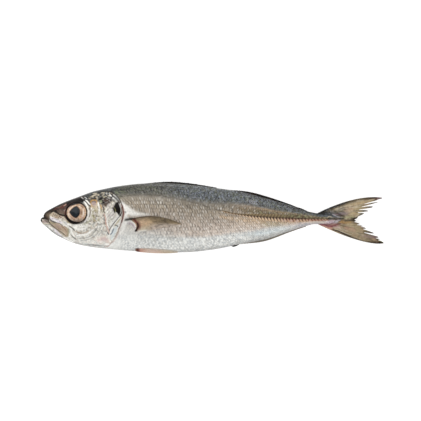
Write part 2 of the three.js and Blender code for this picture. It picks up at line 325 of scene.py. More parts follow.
def even_angles(count, station):
    """Angles that space points evenly round the section at a station, from the back down the left flank."""
    fine = np.linspace(0, 180, 4001)
    height, side = section(np.full_like(fine, station), fine)
    arc = np.concatenate([[0], np.cumsum(np.hypot(np.diff(height), np.diff(side)))])
    left = np.interp(np.linspace(0, arc[-1], count // 2 + 1), arc, fine)
    return np.concatenate([left[:-1], 360 - left[:0:-1]])


def outward(points):
    """Unit normals of a grid of points that closes on itself along its second axis."""
    along = np.gradient(points, axis=0)
    around = np.roll(points, -1, axis=1) - np.roll(points, 1, axis=1)
    normal = np.cross(around, along)
    return normal / np.maximum(np.linalg.norm(normal, axis=-1, keepdims=True), 1e-9)


def lay(points):
    """Lays fish points down in the scene. What would sink into the table is pressed flat on it."""
    station, height, side = np.moveaxis(points, -1, 0)
    z = spine(station) + side
    press = np.clip((z + TABLE_SOFTNESS) / (2 * TABLE_SOFTNESS), 0, 1)
    z = np.where(z < TABLE_SOFTNESS, TABLE_SOFTNESS * press**2, z)
    return np.stack([station, height, z], axis=-1) * MM + ORIGIN


def at_side(place, side):
    """Gives flat (station, height) points their distance out from the mid-plane."""
    side = np.broadcast_to(side, place.shape[:-1])
    return np.concatenate([place, side[..., None]], axis=-1)


def eye_place(hand):
    """Centre of an eyeball, and the way it faces, out of the flank."""
    station, height, step = EYE["station"], EYE["height"], 1
    along = (flank(station + step, height) - flank(station - step, height)) / (2 * step)
    up = (flank(station, height + step) - flank(station, height - step)) / (2 * step)
    facing = np.array([-along, -up, hand])
    facing /= np.linalg.norm(facing)
    surface = np.array([station, height, hand * flank(station, height)])
    return surface + facing * (EYE["bulge"] - EYE["depth"]), facing


# Where station 0, height 0 and the table lie in the scene.
EYE_MIDDLE = sum(corner.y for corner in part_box("left_eye")) / 2
ORIGIN = np.array([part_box("body")[0].x, EYE_MIDDLE - eye_place(1)[0][1] * MM, 0])


# ---- Painting ----


class Coat:
    """Colour and relief laid over a grid of surface points, feature by feature."""

    def __init__(self, points, palette, seed, wander=0.3):
        self.points = points
        self.palette = palette
        self.station, self.height, self.side = np.moveaxis(points, -1, 0)
        self.x = self.station + wander * (2 * noise(points, WANDER_SIZE, seed) - 1)
        self.y = self.height + wander * (2 * noise(points, WANDER_SIZE, seed + 1) - 1)
        self.seed = seed + 2
        self.tint = np.ones(points.shape)
        self.relief = np.zeros(points.shape[:-1])

    def colour(self, name):
        return np.array(getattr(self.palette, name))

    def fill(self, name, share=1.0):
        """Mixes a colour in, by a share that may differ from point to point."""
        share = np.clip(np.broadcast_to(share, self.relief.shape), 0, 1)[..., None]
        self.tint = lerp(self.tint, self.colour(name), share)

    def ramp(self, value, stops, share=1.0):
        """Mixes in colours by a value, from stops such as "0 back .35 slate 1 bronze"."""
        words = stops.split()
        places = [float(place) for place in words[::2]]
        colours = np.array([self.colour(name) for name in words[1::2]])
        blend = np.stack([np.interp(value, places, colours[:, i]) for i in range(3)], axis=-1)
        self.tint = lerp(self.tint, blend, np.broadcast_to(share, self.relief.shape)[..., None])

    def near(self, line, margin):
        """Points close to a smooth line: which they are, how far from it, and the share of the way along."""
        line = rounded(line)
        low, high = line.min(0) - margin, line.max(0) + margin
        which = np.nonzero((self.x > low[0]) & (self.x < high[0]) & (self.y > low[1]) & (self.y < high[1]))
        x, y = self.x[which], self.y[which]
        best, place = np.full(len(x), 1e9), np.zeros(len(x))
        for i, (a, b) in enumerate(zip(line, line[1:])):
            run = b - a
            t = np.clip(((x - a[0]) * run[0] + (y - a[1]) * run[1]) / max(run @ run, 1e-9), 0, 1)
            gap = np.hypot(x - a[0] - t * run[0], y - a[1] - t * run[1])
            place = np.where(gap < best, (i + t) / (len(line) - 1), place)
            best = np.minimum(best, gap)
        return which, best, place

    def lay_on(self, which, name, share, relief):
        """Mixes a colour into some points, and raises them."""
        self.tint[which] = lerp(self.tint[which], self.colour(name), np.clip(share, 0, 1)[..., None])
        self.relief[which] += relief

    def stroke(self, name, share, width, relief, line, taper=0.0):
        """A soft line of a colour, with a ridge (or a groove, if negative). A taper narrows its ends."""
        which, gap, place = self.near(line, 2.5 * width)
        width = width * lerp(1, np.sin(np.pi * np.clip(place, 0.02, 0.98)) ** 0.5, taper)
        shape = bump(gap, width)
        self.lay_on(which, name, share * shape, relief * shape)

    def strokes(self, lines, taper):
        for line in lines:
            self.stroke(*line, taper=taper)

    def oval(self, x, y, wide, high, fall=0):
        """1 in the middle of a soft oval, and 0 well outside it. A fall slants it."""
        return bump(np.hypot((self.x - x) / wide, (self.y - y + fall * (self.x - x)) / high), 1)

    def patch(self, name, share, centre, radii, relief=0.0, turn=0.0):
        """A soft oval of a colour."""
        a = np.radians(turn)
        x, y = self.x - centre[0], self.y - centre[1]
        along, across = x * np.cos(a) + y * np.sin(a), y * np.cos(a) - x * np.sin(a)
        shape = fade(np.hypot(along / radii[0], across / radii[1]), 0.5, 1.5)
        self.fill(name, share * shape)
        self.relief += relief * shape

    def area(self, name, share, corners, soft=0.4, relief=0.0):
        """A closed shape of a colour, with a soft edge."""
        closed = [*corners, corners[0]]
        which, gap, _ = self.near(closed, soft)
        x, y = self.x[which], self.y[which]
        inside = np.zeros(len(x), bool)
        line = rounded(closed)
        for a, b in zip(line, np.roll(line, -1, axis=0)):
            crosses = (a[1] > y) != (b[1] > y)
            inside ^= crosses & (x < a[0] + (y - a[1]) * (b[0] - a[0]) / (b[1] - a[1] or 1))
        shape = smooth(np.where(inside, gap, -gap), -soft, soft)
        self.lay_on(which, name, share * shape, relief * shape)

    def mottle(self, name, share, size, where=1.0):
        """Blots of a colour at random places."""
        self.seed += 1
        blots = smooth(noise(self.points, size, self.seed), 0.45, 0.8)
        self.fill(name, share * blots * where)

    def grain(self, amount, size, where=1.0):
        """Makes the colour lighter and darker at random places."""
        self.seed += 1
        change = amount * (2 * noise(self.points, size, self.seed) - 1) * where
        self.tint = np.clip(self.tint * (1 + change[..., None]), 0, 1)

    def stripes(self, name, share, pitch, turn, where):
        """Fine parallel lines, turned by an angle from the tail direction."""
        a = np.radians(turn)
        across = self.y * np.cos(a) - self.x * np.sin(a)
        shape = (0.5 + 0.5 * np.cos(2 * np.pi * across / pitch)) ** 2
        self.fill(name, share * shape * where)


# Brush strokes of the markings, as strokes() reads them.
MOUTH_AND_JAWS = strokes("""
brown .75 1.2 0 1.7,-3.3 3.7,-2.8 5.6,-3.8
mauve .45 .6 0 2.8,-2.4 4.1,-3.9 5.8,-4.3
cream .8 .5 0 2.5,-4.8 4.9,-4.9 7.5,-5.4
slate .7 .3 -.1 3.8,-5.3 5.6,-5.8 7.7,-6
olive .8 .5 0 6,-2.8 7.1,-4.2 9,-5.9
ink 1 .75 0 -.2,-3.3 .1,-2.2 .9,-.9 1.8,-.2 3.1,-.5
ink .95 .5 0 8.4,-1.6 9.6,-2.5 11.8,-3.5 13.5,-4
umber .8 .35 0 13.5,-4 16,-4.9 18.7,-6.2
moss .5 .7 0 8.6,-3.4 10.9,-4.4 13.3,-4.9
brown .8 .35 0 17.7,-6.4 19.6,-7.9 21.2,-9.5 21.8,-11.3
brown .6 .3 0 19.4,-6.6 21,-7.5 22.3,-8.1
cream .85 .6 0 17.8,-10.1 19.3,-11.1 20.7,-12.3
umber .45 .3 0 12.6,-6.3 15.1,-8.3 17.6,-9.9
mauve .45 .6 0 13.5,-5.4 15.6,-7.1 17.2,-8.5
moss .6 .55 0 23.3,-8.7 23.7,-11.3 22.7,-14.6
umber 1 .4 -.2 5.4,-1.4 7.5,-4.2 10.1,-6.5 12.6,-8.5 15.5,-10.5 17.6,-12.2 19.6,-13.8
olive .9 .5 0 17.6,-11.8 18.8,-13 20.4,-14.3
cream .95 .5 .05 8.3,-6.5 10.9,-7.9 13.8,-10.1 16.7,-12.4 18.7,-14.2 21.2,-15.4
lilac .9 .7 0 11.3,-9.3 13.3,-11 15.4,-13 17,-14.1
mauve .45 .4 0 12.4,-11.8 14.1,-12.8 16.1,-13.9
slate .5 .35 -.1 5.3,-6.9 8.2,-9.4 11.1,-11.6 15.2,-14.4 19.3,-16.5
white .8 .6 0 18.9,-15.7 22.5,-17.5 26.6,-19.2
ink .95 .5 -.25 24,-6.5 26,-8 28.1,-10.3
white .9 .6 0 25.2,-8.5 26,-11.5 28,-14.3
ink .9 .45 -.25 25.3,-13.8 27.2,-15.6 29,-17
""")
SNOUT = strokes("""
hide .3 1.1 0 11,5.3 14.6,5.9 17.6,5.3 19.9,4.5
hide .7 .5 0 12.7,8 14.9,8.2 17,9 18.4,9.9
maroon .7 .7 0 9.8,5.9 11.9,7 14.1,7.6
maroon .9 .8 0 16.4,7.8 18.1,8.4 19.4,9
rose .75 .45 .1 19.5,9.3 20.6,10 21.4,10.8
maroon .85 .7 0 20.1,7.4 20.8,5.3 20.6,2.7 21.9,.9
ink 1 1.6 0 3.3,1.9 4.5,3.3 6.4,4.7 8.9,6.2 11.4,7.7
ink .95 .6 0 11.3,8 14.2,9.6 17,10.9 20.1,12.3 23.3,13.3
ink .8 .4 0 13.2,7.1 14.6,6.4 15.5,5.8
umber 1 1.4 0 5.3,1.9 6,-.2 6.9,-2.2
smoke .9 1.2 0 5.7,2.5 7.1,1 7.5,-.8
ink 1 1.1 0 3.1,1.8 3.7,.4 4.9,-1.1
ink .8 .5 0 7.9,-.6 8.6,-1.6 9.6,-2.4
lilac 1 1.2 .1 8.8,0 11.3,-1.4 14.5,-2.8 17.7,-4
white .95 .45 0 10.5,-2 12.2,-2.2 13.9,-3.2
white .95 .4 0 8.2,1 9.4,.7
white .8 .4 0 15.6,-1.4 17.3,-2.2
mauve .8 .35 0 10,-.8 10.9,-1.1
mauve .6 .3 0 15.6,-3 16.8,-3.5
steel .45 .4 0 13,-1.3 14.3,-1.6
cream 1 .6 .1 9,1.9 9.6,3.3 11,3.9 11.7,3
umber .8 .3 0 10.3,1.5 11.1,2.7 11.3,1.8
cream 1 .55 .1 12.6,3.3 14.1,3.1 15.1,1.9
tan 1 .6 0 12.2,1.1 13.5,.2 14.7,.8
umber .95 .35 0 13.1,1.9 14.5,1.9
cream 1 .5 .1 15.3,2.1 16.4,1.1 16.6,-.2
cream 1 .5 .1 17.7,.2 19.1,.9 20.8,-.2 21.9,-1.4
tan .9 .35 0 18.5,-.4 19.8,-1 20.8,-1.6
pearl .8 .7 0 19.4,-3.4 20.8,-4.6 21.5,-5.8
cream 1 .45 .1 21,-1.4 22.5,-2.8 24.4,-4 26.3,-4.6
olive .8 .35 0 21.7,-2.6 23.3,-4 25,-4.6
white 1 .55 .1 22.3,-5 23.8,-5.4 25.2,-6.2
slate .6 .3 0 19.8,-3.8 20.3,-4
slate .6 .3 0 18.1,-2.2 18.7,-2.4
slate .5 .3 0 21.5,-5 22,-5.5
ink 1 .5 0 7.4,2.7 9.1,4.3 11.2,4.8 13.4,4.1 15.5,2.7 17.7,1.9 19.8,1.5 21.9,-.6 24,-2.2 26.3,-3
ink 1 .8 0 21.3,7.4 22.5,9.2 24.3,11.2 25.9,12.4
""")
BROW = strokes("""
white 1 .7 .1 35.2,13.2 37,11.5 38.7,9.6 39.5,8.1
ink 1 .8 -.05 35.2,14.5 37.2,12.9 39.3,11 41.1,8.8
white 1 .5 .1 37.1,14 39.2,12.2 41,10.3
ink .8 .45 0 38.5,14.5 40.6,12.7 41.5,11.2
white 1 .55 .1 39.2,7.7 39.9,5.2 39.7,2.1 38.5,-.9 36.6,-3.3
umber .85 .4 0 40.3,8.1 41.1,5.7 41,3.2 40.3,.4
white .8 .5 0 41.6,7.2 41.9,4.2 41.3,.6 40,-2.1
olive .6 .4 0 41.9,3.2 41.5,.1 40.2,-2.9 38.4,-4.7
""")
NAPE = strokes("""
ink .9 .45 0 39.9,16.4 41.3,15.3 43.4,15 45.8,15.3
ink .9 .45 0 48.5,14.7 50.5,15 53.1,15.3 54.2,14
ink .95 .5 0 46.7,19.4 50.2,20.7 54.3,20.8 58.5,19.6 61.1,17.7
ink .85 .4 0 42,17.9 44.3,16.8 46.4,17.3
ink .85 .4 0 48.6,18.2 50.9,16.9 53,17.9 55.2,16.7
cream .95 .45 0 41.6,16.7 44.7,17.9 47.8,18.1
cream .9 .4 0 42.8,19 46.2,19.2
cream .8 .35 0 49.3,19.4 52.4,19.8
white .7 .3 0 53,19.1 56,18.9 58.6,17.8
olive .8 .35 0 50.5,15.8 52.5,16.3 54.6,15.9
white .7 .4 0 33.4,16.2 35.1,14.9
white .7 .35 0 36.1,16.3 38.2,14.9
ink .8 .4 0 34.7,17 37.6,16.3 39.7,15.7
ink .7 .4 0 37.3,18.3 40,17.7
ink .95 .55 0 57.4,20.8 60.2,19.3 62.1,17.3 63.8,14.8
white 1 .4 .1 56,18.2 58.7,15.9 61.3,13.5 63.1,11
ink 1 .5 0 57,18.8 59.8,16.7 62.4,14.3 64.4,11.2
white 1 .4 .1 59.7,17.7 62.2,15.5 64.4,12.7 65.8,9.7
ink .95 .5 -.1 61.8,17.4 63.8,15.2 65.9,11.7 66.8,8.7
ink .9 .5 0 55.6,16.8 57.7,14.8 60,12.5
""")
GILL_COVER = strokes("""
blush .7 2 0 47.4,-17.8 51.6,-16.5 55.1,-18.3
mauve .35 1.4 0 50.5,-16.8 54.1,-17
ochre .6 .5 0 41.1,12 42,13.4 43.9,14 45.7,13.3 46.3,11.6
ochre .5 .45 0 41.5,11.5 42.1,9.7 43,8.5
umber .5 .35 0 42.4,12.7 44.2,13.2 45.4,12.2
ink .9 .4 0 47.8,14 49,14.6 50.6,13.9 50.4,11.8 49.2,10.9 48.1,11.7
ochre .7 .5 0 49,10 49.7,8.5 50.4,6.7
umber .95 .55 0 50.8,9.3 52,7.3 51.8,5.2 53,3.9
white .9 .6 0 47.1,12.2 47.8,9.2 48.1,6.2 47.9,2.7
cream .8 .5 0 46.1,9.2 46.5,6.2 46.2,3.2
olive .8 .4 0 41.9,6.2 42.8,4.7 43.8,3.8
olive .8 .4 0 43.5,7.7 44.8,6.2 45.6,4.4
olive .7 .4 0 42.5,2.1 43.8,.6 45.1,-.1
tan .8 .4 0 43.1,-.9 44.6,-2.1 45.6,-3.4
umber .5 .35 0 44.6,3.4 45.6,1.6 45.4,-.4
rose .85 .5 0 52.3,3.2 53.1,.1 53.4,-3.4 54.2,-6.4 55.4,-9.5 56,-12.1
umber .6 .3 -.1 51.8,2.2 52.5,-1.4 52.9,-5.4
ink .95 .45 0 54.7,-11.4 55.6,-13.2
white .9 .5 0 54.3,-.9 54.7,-4.4 55.7,-7.7
umber .95 .4 -.25 65,1.7 62.4,-1.5 59.6,-5 57.2,-8.2 56.3,-10.6
cream .9 .6 .1 65.7,.1 63.1,-3.4 60.4,-6.5
olive .6 .35 0 64.8,-.9 62.3,-4.1
ice .6 .8 .05 62.4,-7.3 60.6,-11 59,-14.1 57.8,-16.6
white .9 .5 0 59.1,-7.5 57.8,-9.9 56.7,-12
steel 1 .5 0 60.1,-8.5 58.6,-11.4 57.1,-13.3
ink .9 .45 0 60.8,-5.7 62.6,-6.2 63.3,-7
cream .9 .6 0 63.4,-9.9 62.3,-13 61,-16
ink .9 .5 0 65.2,3.2 65.8,1.2
""")
# The bloodshot edge of the gill cover, which runs on to the skin behind it.
GILL_RIM = strokes("""
umber .9 .5 0 63.2,13.6 65.4,11.2 66.6,8.4
rust 1 .75 0 66,10.2 67.2,6.8 67.6,3.7 67,0 66.1,-3.5
rust .75 .45 0 66.4,-2.6 64.8,-7 63.6,-8.9
rose .45 .5 0 63.9,-8.9 63,-12.2 61.5,-15.8 59.4,-18.6 57.6,-19.6
rust .7 .35 0 58.2,-18.3 56.8,-20.6 54.8,-22.6 52.2,-23.5
""")
CHEEK = strokes("""
tan .8 .5 -.08 28.6,-10.8 31.2,-11.8 34.2,-12.4 37.4,-11.5 39.9,-10.2
umber .45 .3 0 29.1,-11.3 32.7,-12.6 36.3,-12.1
olive .6 .4 0 35.9,-5 38.4,-4.2 40.7,-2.5
slate .6 .4 -.12 30,-16.7 34.1,-16.5 39.3,-15.6 43,-13 45.6,-9.6 47.4,-5.9
slate .5 .4 -.1 33,-17.9 38.2,-17.4 43.4,-15.5 46.6,-12.5
white .95 .8 0 28.1,-7.2 32.2,-9 37.4,-8.5
white .95 .8 0 30.1,-14.3 36.3,-13.6 40.9,-11.5 43.5,-8.4
white .9 .7 0 29.2,-5.9 33.3,-6.9 36.4,-6.2
slate .45 .4 -.1 46,-13 48.6,-9.5 50.2,-5.9
slate .4 .35 -.1 47.5,-14 50.1,-11 51.7,-7.4
tan .5 .4 0 42.5,-9 45.1,-6.9 46.6,-3.9
""")
TAIL_BASE = strokes("""
lilac .5 .45 0 234.3,2.7 237.1,1.4 240.2,.3
smoke .6 .5 0 235,4.6 240.5,5.4 246,6.6
mauve .6 .5 0 236,2.4 241,2.8 246.5,3.2
smoke .6 .4 0 237.5,1.2 243,1.8 248.5,1.9
umber .85 .9 0 238.1,3.7 240.9,2.3 244.4,.7
ink .95 .6 0 208,0 215,-.1 222,-.3 228.5,-.6 234.1,-1.1 240.8,-1.1 243.9,-.6
cream .8 .35 0 230.4,.3 232.3,.9 234.2,.3
wine .6 .8 0 215.9,-1.7 222,-2 228.1,-2.2
silver .7 .9 0 210.8,-3.4 217.4,-3.6 223.4,-3.4 229.5,-4.4
lilac .6 1.1 0 230,-3.6 234.2,-3.9 238.5,-3.4
mauve .7 .6 0 230.4,-2.2 234.2,-2.7 239.1,-2.2
wine .95 .9 0 224.8,-5.5 228.7,-6 231.5,-6.9 234.3,-7.2
maroon .95 .6 0 233.4,-6.9 236.2,-6.4 238.5,-5.3 240.9,-4.7
rose .6 .8 0 228.3,-7 231.5,-8.3 234.3,-9
""")
TAIL_LOBES = strokes("""
smoke .6 1 0 228,4.5 234.5,7.1 241,9.7 247,11.6 254,13.1
horn .8 .8 0 254.9,11 259.6,12.4 264.2,13.1
ink 1 1.1 0 224.5,3.9 229.4,6.3 236.4,8.9 243.8,11.6 252.2,13.9 259.6,15.4 266.5,16.2 273.5,16
umber .9 .9 0 260.5,14.5 266.5,15.4 271.2,15.5
cream .8 .3 0 263.7,14.2 267,14.6 269.3,14.9
mauve .4 .9 0 271.2,15.3 275.3,15.9
cream .9 .35 0 236.4,6.3 241,7.8 244.7,9.1 248.4,10.3
cream .6 .3 0 238.2,5.2 242.9,6.6 246.6,8
rose .35 1.8 0 245.7,5.9 250.3,6.8
straw .6 1.2 0 248,2.2 252.2,3.6
cream .6 .6 0 253.1,.8 255.9,2.6 255.4,5.4
fleck .8 .6 0 242.9,-.2 248,.5 251.7,.4
ochre .45 1.3 0 241,-3.6 244.7,-3.8 249.2,-3.6
straw .6 .8 0 246,-5.4 251.2,-5.8
umber .85 .4 0 236.4,.3 241,-1 245.2,-1.5
ink 1 1 0 245.2,-2.5 250.5,-1.9 254,-2.2
ink 1 .6 0 249.5,-.2 252.4,-.6 255.4,-.7
blush .6 .8 0 235.4,-7.2 240.6,-8.3
rose .35 1.6 0 245.7,-8 252.6,-10.3
mauve .3 1.4 0 259.6,-14.8 266.5,-15.7 270.7,-16.1
rose .6 .6 0 226.2,-6.2 230.3,-8.1 234.5,-9.3
cream .8 .4 0 236.4,-9 241,-10.9 245.7,-12.6 250.3,-14.1
ink 1 .7 0 233.6,-9.2 241,-11.8 248,-14.8 254.9,-17.5 261.9,-19.6 268.9,-20.8 275.8,-20.5
ink .9 .9 0 263.3,-19.4 268.9,-20.2 273.5,-20.1
moss .7 .5 0 272.6,-18.8 275.8,-20.1
""")
THROAT_RAYS = [
    ("slate", 0.35, 0.35, -0.15, [
        (34 + 4 * i, -20.6 - 0.5 * i), (40 + 3.4 * i, -21.6 - 0.35 * i), (49 + 1.4 * i, -21.8 - 0.2 * i),
    ])
    for i in range(4)
]
SNOUT_CREASE = strokes("ink 1 .75 0 9.1,4.6 11.8,5.2 13.4,4.3 15.5,3 17.7,2.4 20.2,1.6 22,-.6 24,-2.2")
BLOTCH_GLINTS = strokes("""
white .6 .3 0 63.8,11.2 65.2,8.4 65.6,5.2 64.8,2.6
white .65 .35 0 61.4,4.6 62.9,2.8 63.6,1.2
olive .7 .35 0 60.3,8 61.3,6 61,4.6
white .6 .3 .05 65,11.6 66.1,8.4
""")
BEHIND_GILLS = strokes("white .85 1.7 .1 66.5,11.5 69.5,8 70,3 69,-3 67,-9 65,-13")
SHOULDER_BAND = strokes("bronze .5 1 0 64,14.6 70,11 77,7.6 84,4")
PECTORAL_BASE = strokes("""
white .95 1.3 .5 70,-3.2 74,-2.6 76.2,-5 76.6,-8.6
lilac .6 .6 0 69.6,-4.4 72.6,-4.6 74.6,-6.2
""")
PECTORAL_CREASE = strokes("slate .7 .35 -.1 70.4,-3.9 72.4,-5 71.2,-5.4")
PECTORAL_EDGE = strokes("""
mauve .7 .8 0 72,-3.4 74.8,-5.4 76.4,-8.6
ink 1 1.3 .1 69,-2.1 71.4,-1.2 74.4,-.8
""")
PECTORAL_FRONT = strokes("ink .95 1 0 72.2,-1.2 75.2,-.8 77.2,-2.2")
PECTORAL_ROOT = strokes("""
rust .5 1.4 0 77.4,-3 80.2,-5.4 80.4,-8
maroon 1 1.3 0 75.8,-1.8 78.6,-4.2 79.2,-7.4 77.4,-10.6
ink .95 .7 0 78.4,-4.6 79,-7 77,-10.6
""")
# Marks of the iris, whose white rings are painted highlights: rings as colour, share, radius, width, degrees
# from the top and sharpness of their ends, and spots as colour, share, place towards the tail and the back,
# and half sizes.
IRIS_ARCS = (
    ("white", 0.25, 5.8, 0.5, 262, 3),
    ("white", 0.4, 6.1, 0.45, 312, 6),
    ("white", 0.4, 6.5, 0.45, 222, 3),
    ("white", 0.55, 5.7, 0.6, 95, 3),
    ("rose", 0.4, 6.9, 0.5, 300, 5),
    ("umber", 0.45, 6.2, 1.2, 180, 2),
    ("iris_shade", 0.5, 7.2, 0.4, 275, 5),
    ("brown", 0.75, 5.5, 0.3, 218, 6),
    ("mauve", 0.55, 4.7, 0.35, 215, 8),
    ("hide", 0.8, 6.8, 0.8, 178, 3),
    ("brown", 0.9, 6.7, 0.6, 335, 5),
    ("brown", 0.8, 6.1, 0.4, 28, 10),
    ("iris_shade", 0.7, 7.4, 0.6, 27, 6),
)
IRIS_SPOTS = (
    ("brown", 0.65, 4.8, 4.4, 0.9, 0.9),
    ("hide", 0.85, 3.9, 0.1, 0.9, 2.2),
    ("hide", 0.9, 1.5, -5.0, 0.45, 1.3),
    ("rose", 0.7, 4.7, -3.5, 1.0, 0.6),
    ("iris_shade", 0.5, 6.3, 0.8, 0.4, 0.9),
)
# Closed outlines of patches, and the places of the flecks on the back.
SNOUT_SHADE = outline(
    "2.6,-1 3.2,2.9 7.8,6.2 12.4,9.3 17.2,11.3 22.1,13.3 28.9,15.6 35,17 35.2,15 33,14 28,13 23,11 20,6 "
    "21.6,1.6 18,3 12,3.8 8,2.6 6,-1.6"
)
BRIGHT_SHOULDER = outline(
    "64,13 68,10.8 72,8.4 76,5.8 82,3.6 88,2.6 84,1.6 76,1.2 70,0 67,-6 62,-12 60,-6 66,2"
)
DUSKY_LOBE = outline("226,4.4 234,7.6 243,9.6 247,7 250,3.4 249.5,1.2 238,.2")
BACK_FLECKS = outline("157,17.8 161,16.9 165.5,15.7 171,14.2 176,12.9 186,10.4 190,9")
BLOTCH = outline(
    "59.9,9.2 61.2,11.6 63.3,12.3 65,10.3 66.2,7.3 66.5,3.7 65.2,1.4 63.5,2.4 62,3.9 60.2,4.4 "
    "59.4,6.8"
)
BROWN_PATCH = outline("51.5,14.9 54.6,15.5 58.3,14.4 58,12.2 55.5,10.6 53.5,8.8 51.6,9.8 50.7,12.2")
BROW_PATCH = outline(
    "21.4,11.3 22.4,12.7 25.3,14.2 29.6,15.2 32.8,15.9 35.1,14.8 35.6,12.7 32.6,12.2 27.9,12 "
    "24.7,11.2 22.3,9.2"
)
MAXILLA = outline(
    "8.4,-2.2 10.1,-3.2 12.6,-3.9 15.6,-5 18.7,-6.4 21.9,-7.9 23.5,-9.3 23.9,-11.9 23.2,-14.8 "
    "21.2,-15.2 19.6,-13.8 17.6,-12.2 15.5,-10.5 12.6,-8.5 10.1,-6.5 7.9,-4.2"
)
TAIL_SLATE = outline(
    "221.7,3.1 226.9,5.4 230.5,6.4 234,5.2 239.4,3.2 243.9,1.8 240.9,.2 236,-.7 228.5,-.2 221.5,.3"
)


def paint_base(coat):
    """The plain colours: dark back, grey shoulder, bronze flank, pearl belly with painted shade at its edge,
    warmer towards the tail.
    """
    station, height = coat.station, coat.height
    first = DARK_EDGE[0][0]
    edge = dark_edge(np.maximum(station, first)) * smooth(station, -20, first)
    top, bottom = back(station), belly(station)
    above = np.clip((top - height) / np.maximum(top - edge, 0.5), 0, 1)
    below = np.clip((edge - height) / np.maximum(edge - bottom, 0.5), 0, 1)
    coat.ramp(above, "0 back .35 slate .75 shoulder 1 bronze")
    rear = smooth(station, 140, 190)
    flank_now = smooth(below, 0, 0.02)
    coat.ramp(below, "0 bronze .18 flank .5 silver .66 silver .74 pearl .9 pearl 1 belly", flank_now)
    coat.ramp(below, "0 tan .3 tan .42 peach .62 silver .8 pearl 1 belly", flank_now * rear)
    coat.fill("shell", 0.6 * fade(station, 85, 125) * smooth(below, 0.5, 0.68) * flank_now)
    low_flank = 0.7 * smooth(below, 0.68, 0.76) * fade(below, 0.9, 1)
    coat.fill("shell", low_flank * fade(station, 150, 180) * flank_now)
    coat.fill("back", 0.75 * fade(station, 95, 115) * fade(above, 0.25, 0.6))
    # Painted shade: greyer towards the belly's edge, where the body turns away from the light.
    coat.fill("slate", 0.25 * fade(height - bottom, 0.5, 3))
    blue = smooth(station, 95, 125) * fade(station, 170, 190)
    coat.fill("bluing", 0.45 * blue * bump(above - 0.55, 0.3) * (1 - flank_now))
    coat.mottle("shoulder", 0.5, 0.8, (1 - flank_now) * fade(station, 75, 100))


